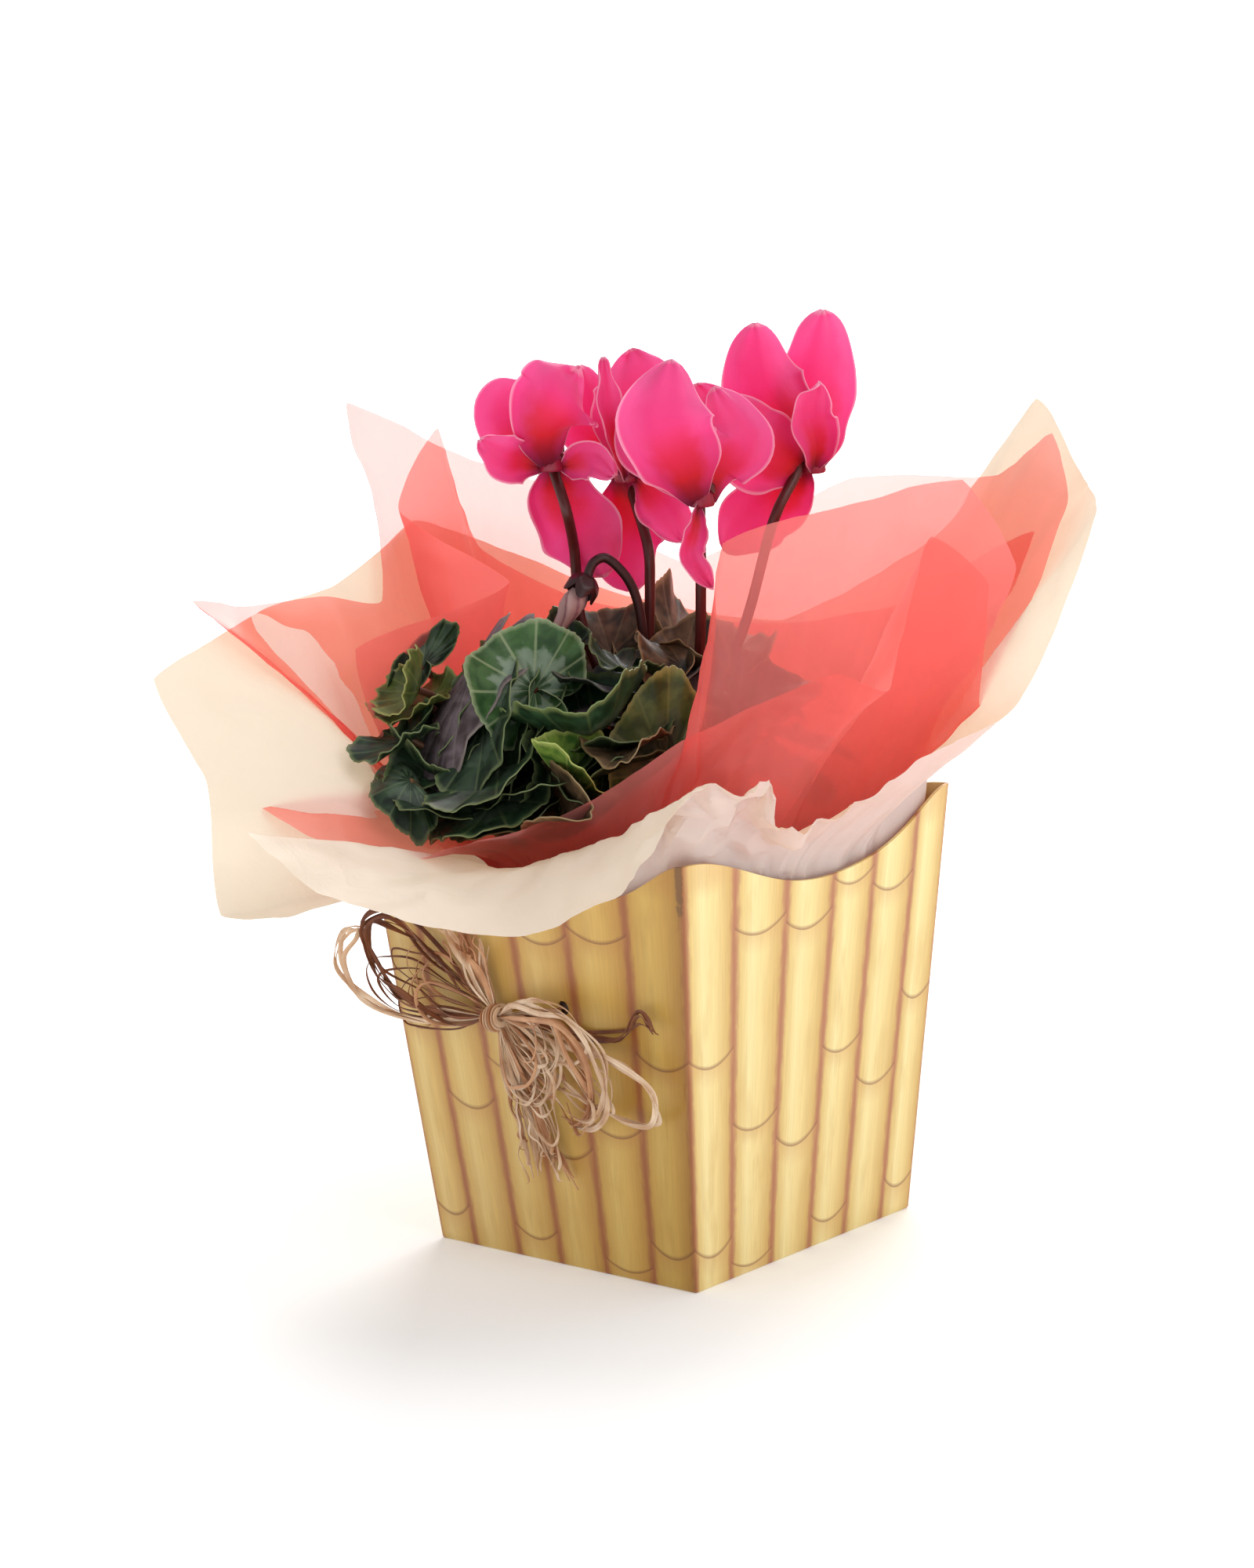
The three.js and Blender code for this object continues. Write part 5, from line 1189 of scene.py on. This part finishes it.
# ==================== the raffia ====================
def off_card(stations):
    """Points before the card's left face, from (x, height, how far off it)."""
    return np.array([(x, -half_width(z) - off, z) for x, z, off in stations], float)


def ribbon_piece(path, width, thickness, twist, start=0.0):
    """A flat closed ribbon swept along a path and twisted about it; it narrows to its two ends."""
    side, normal = frames_along(path)
    share = np.linspace(0, 1, len(path))
    turns = np.radians(start + twist * share)[:, None]
    flat = np.cos(turns) * side + np.sin(turns) * normal
    edge = -np.sin(turns) * side + np.cos(turns) * normal
    taper = np.clip(np.minimum(share, share[::-1]) * 9, 0.25, 1)

    def section(u, k):
        turn = 2 * math.pi * u
        wide = width / 2 * taper[k] * np.sign(np.cos(turn)) * np.abs(np.cos(turn)) ** 0.6
        deep = thickness / 2 * np.sin(turn)
        return wide[:, None] * flat[k] + deep[:, None] * edge[k]

    return swept_piece("ribbon", path, 10, section)


def raffia_skin(add, dark, light):
    """Dyed raffia: dry, slightly glossy ribbon of long fibres, in patches of about 9 mm."""
    grain = add("TexNoise", add("Mapping", add("UVMap"), Scale=(16.0, 3.0, 1.0)), Scale=1.0, Detail=4.0)
    patches = add("TexNoise", add("TexCoord").outputs["Object"], Scale=1 / (9 * MM), Detail=2.0)
    summed = add("Math", grain, 0.5, add("Math", patches, 0.6, operation="MULTIPLY"), operation="MULTIPLY_ADD")
    colour = add("ValToRGB", summed, stops=((0.4, dark), (0.68, light)))
    bump = add("Bump", Height=grain, Strength=0.4, Distance=0.0004)
    skin = add("BsdfPrincipled", colour, Roughness=0.5, Normal=bump, Sheen_Weight=0.15)
    return add("MixShader", 0.2, skin, add("BsdfTranslucent", light))


def strand_ribbons(draw, width):
    """The ribbons of the strands that can be followed in the bow, as (look, ribbon)."""
    knot = off_card([KNOT])[0]
    for count, look, stations in STRANDS:
        stations = off_card(stations)
        lead = knot + unit(stations[0] - knot) * 2.4
        length = np.linalg.norm(np.diff(np.vstack([lead, stations]), axis=0), axis=1).sum()
        for n in range(count):
            wander = draw.normal(0, 1, stations.shape) * (1.1, 0.7, 1.1) * (0.6 + 0.5 * n)
            path = spline(np.vstack([lead, stations + wander]), np.linspace(0, 1, max(16, int(length / 2))))
            path[:, 1] = np.minimum(path[:, 1], -half_width(path[:, 2]) - 0.9)
            yield look, ribbon_piece(path, width * draw.uniform(0.7, 1.2), RIBBON_THICKNESS,
                                     draw.uniform(-3, 3) * length * 2, draw.uniform(0, 180))


def tuft_ribbons(draw, width):
    """The thin loops and tails round the knot, as (look, ribbon)."""
    x, _, z = off_card([KNOT])[0]
    for kind, count, directions, reaches, widths, look in TUFTS:
        looped = kind == "loop"
        for _ in range(count):
            swing = math.radians(draw.uniform(*directions))
            reach, wide = draw.uniform(*reaches), draw.uniform(*widths) * draw.choice((-1, 1))
            share = np.linspace(0.03, 0.97 if looped else 0.5, 11)
            ahead = reach * np.sin(math.pi * share)
            aside = wide * np.sin(2 * math.pi * share) + draw.normal(0, 0.9, 11)
            height = z + ahead * math.sin(swing) + aside * math.cos(swing)
            off = 3.5 + draw.uniform(2, 9) * np.sin(math.pi * share) * (1 if looped else 0.5)
            stations = np.stack([x + ahead * math.cos(swing) - aside * math.sin(swing),
                                 -half_width(height) - off, height], axis=1)
            path = spline(stations, np.linspace(0, 1, 54))
            yield look, ribbon_piece(path, width * draw.uniform(0.3, 0.8), TUFT_THICKNESS,
                                     draw.uniform(-3, 3) * reach * 4, draw.uniform(0, 180))


def knot_ribbons():
    """The rings round the knot and the strand that ties it through the card, as (look, ribbon)."""
    x, y, z = off_card([KNOT])[0]
    turn = np.linspace(0, 2 * math.pi, 33)
    for n in range(KNOT_RINGS):
        slide = -3.2 + 1.3 * n
        ring = np.stack([x + slide + 0.5 * np.sin(turn), y - 0.2 + 3.3 * np.sin(turn),
                         z + (4.6 - 0.14 * slide**2) * np.cos(turn) + 0.25 * slide], axis=1)
        yield "pale" if n % 3 else "warm", ribbon_piece(ring, *RING_RIBBON, 0, 90)
    yield "dark", ribbon_piece(spline(off_card(TIE), np.linspace(0, 1, 60)), *TIE_RIBBON, 220)


class CyclamenRaffia(bpy.types.PropertyGroup):
    """The raffia bow."""
    seed: bpy.props.IntProperty(name="Seed", description="Which way the loose ribbons wander", default=5, min=0)
    width: bpy.props.FloatProperty(
        name="Width", description="Width of a ribbon", default=1.9 * MM, min=0.5 * MM, max=5 * MM,
        subtype="DISTANCE", unit="LENGTH")


class OBJECT_OT_cyclamen_raffia(bpy.types.Operator):
    """Ties the raffia bow through the card's two holes"""
    bl_idname = "object.cyclamen_raffia"
    bl_label = "Raffia bow"

    def execute(self, context):
        settings = context.scene.cyclamen_raffia
        draw, width = np.random.default_rng(settings.seed), settings.width / MM
        skins = {"pale": made_of("Raffia, natural", raffia_skin, "#CC9C70", "#F6DEC0"),
                 "warm": made_of("Raffia, tan", raffia_skin, "#AA6C42", "#E2AE80"),
                 "dark": made_of("Raffia, dyed brown", raffia_skin, "#5E2C14", "#9A5C34")}
        parts = [finish(ribbon, "raffia", skins[look]) for ribbons in (
            strand_ribbons(draw, width), tuft_ribbons(draw, width), knot_ribbons()) for look, ribbon in ribbons]
        join_pieces("raffia_bow_tied", parts, "raffia_bow")
        return {"FINISHED"}


# ==================== the stage ====================
def studio_paper(add):
    """White seamless paper: matt, and lit from within away from the object, so that it fades to pure white."""
    away = add("VectorMath", add("TexCoord").outputs["Object"], operation="LENGTH")
    lit = add("Emission", "#FFFFFF", add("MapRange", away, 0.16, 0.8, 0.2, 1.0))
    return add("AddShader", add("BsdfDiffuse", "#F4F4F3"), lit)


class CyclamenStage(bpy.types.PropertyGroup):
    """The studio."""
    ambient: bpy.props.FloatProperty(
        name="Ambient", description="Brightness of the surround on the object", default=0.52, min=0, max=2,
        subtype="FACTOR")


class OBJECT_OT_cyclamen_stage(bpy.types.Operator):
    """Sets the floor, the soft lights, the white surround and the camera"""
    bl_idname = "object.cyclamen_stage"
    bl_label = "Floor, light and camera"

    def execute(self, context):
        scene = context.scene
        scene.view_settings.view_transform = "Standard"
        choose()
        bpy.ops.mesh.primitive_plane_add(size=14)
        floor = context.active_object
        floor.name = "studio_floor"
        floor.data.materials.append(made_of("Studio paper, white", studio_paper))

        # the surround is pure white to the camera and softer on the object
        world = bpy.data.worlds.new("Studio")
        world.use_nodes = True
        world.node_tree.nodes.clear()
        add = functools.partial(add_node, world.node_tree)
        ambient = add("Background", "#F7F8FC", scene.cyclamen_stage.ambient)
        seen = add("Background", "#FFFFFF", 1.0)
        add("OutputWorld", add("MixShader", add("LightPath").outputs["Is Camera Ray"], ambient, seen))
        scene.world = world

        for name, place, size, power, code in LIGHTS:
            choose()
            bpy.ops.object.light_add(type="AREA", location=place)
            light = context.active_object
            light.name = name
            light.rotation_euler = (AIM - Vector(place)).to_track_quat("-Z", "Y").to_euler()
            light.data.size = size
            light.data.energy = power
            light.data.color = linear(code)[:3]

        choose()
        bpy.ops.object.camera_add()
        camera = context.active_object
        right, up = Vector(CAMERA_RIGHT), Vector(CAMERA_UP)
        turn = Matrix((right, up, right.cross(up))).transposed()
        camera.matrix_world = Matrix.Translation(CAMERA_PLACE) @ turn.to_4x4()
        camera.data.sensor_fit = "VERTICAL"
        camera.data.sensor_height = SENSOR
        camera.data.lens = CAMERA_LENS
        scene.camera = camera
        return {"FINISHED"}


class VIEW3D_PT_cyclamen(bpy.types.Panel):
    """Lists the steps that build the cyclamen"""
    bl_label = "Cyclamen"
    bl_idname = "VIEW3D_PT_cyclamen"
    bl_space_type = "VIEW_3D"
    bl_region_type = "UI"
    bl_category = "Cyclamen"

    def draw(self, context):
        for group in SETTINGS:
            settings = getattr(context.scene, group)
            for name in settings.bl_rna.properties.keys():
                if name not in ("name", "rna_type"):
                    self.layout.prop(settings, name)
        for step in STEPS:
            self.layout.operator(step.bl_idname)


STEPS = (
    OBJECT_OT_cyclamen_stage, OBJECT_OT_cyclamen_card, OBJECT_OT_cyclamen_wraps, OBJECT_OT_cyclamen_pot,
    OBJECT_OT_cyclamen_corm, OBJECT_OT_cyclamen_leaves, OBJECT_OT_cyclamen_blooms, OBJECT_OT_cyclamen_bud,
    OBJECT_OT_cyclamen_raffia,
)
SETTINGS = {
    "cyclamen_card": CyclamenCard, "cyclamen_wraps": CyclamenWraps, "cyclamen_leaves": CyclamenLeaves,
    "cyclamen_blooms": CyclamenBlooms, "cyclamen_raffia": CyclamenRaffia, "cyclamen_stage": CyclamenStage,
}


def register():
    for group in (*SETTINGS.values(), *STEPS, VIEW3D_PT_cyclamen):
        bpy.utils.register_class(group)
    for name, group in SETTINGS.items():
        setattr(bpy.types.Scene, name, bpy.props.PointerProperty(type=group))


def unregister():
    for name in SETTINGS:
        delattr(bpy.types.Scene, name)
    for group in (VIEW3D_PT_cyclamen, *STEPS, *SETTINGS.values()):
        bpy.utils.unregister_class(group)


def main():
    register()
    for step in STEPS:
        group, name = step.bl_idname.split(".")
        if getattr(getattr(bpy.ops, group), name)() != {"FINISHED"}:
            raise RuntimeError(f"{step.bl_label} didn't finish")


if __name__ == "__main__":
    main()
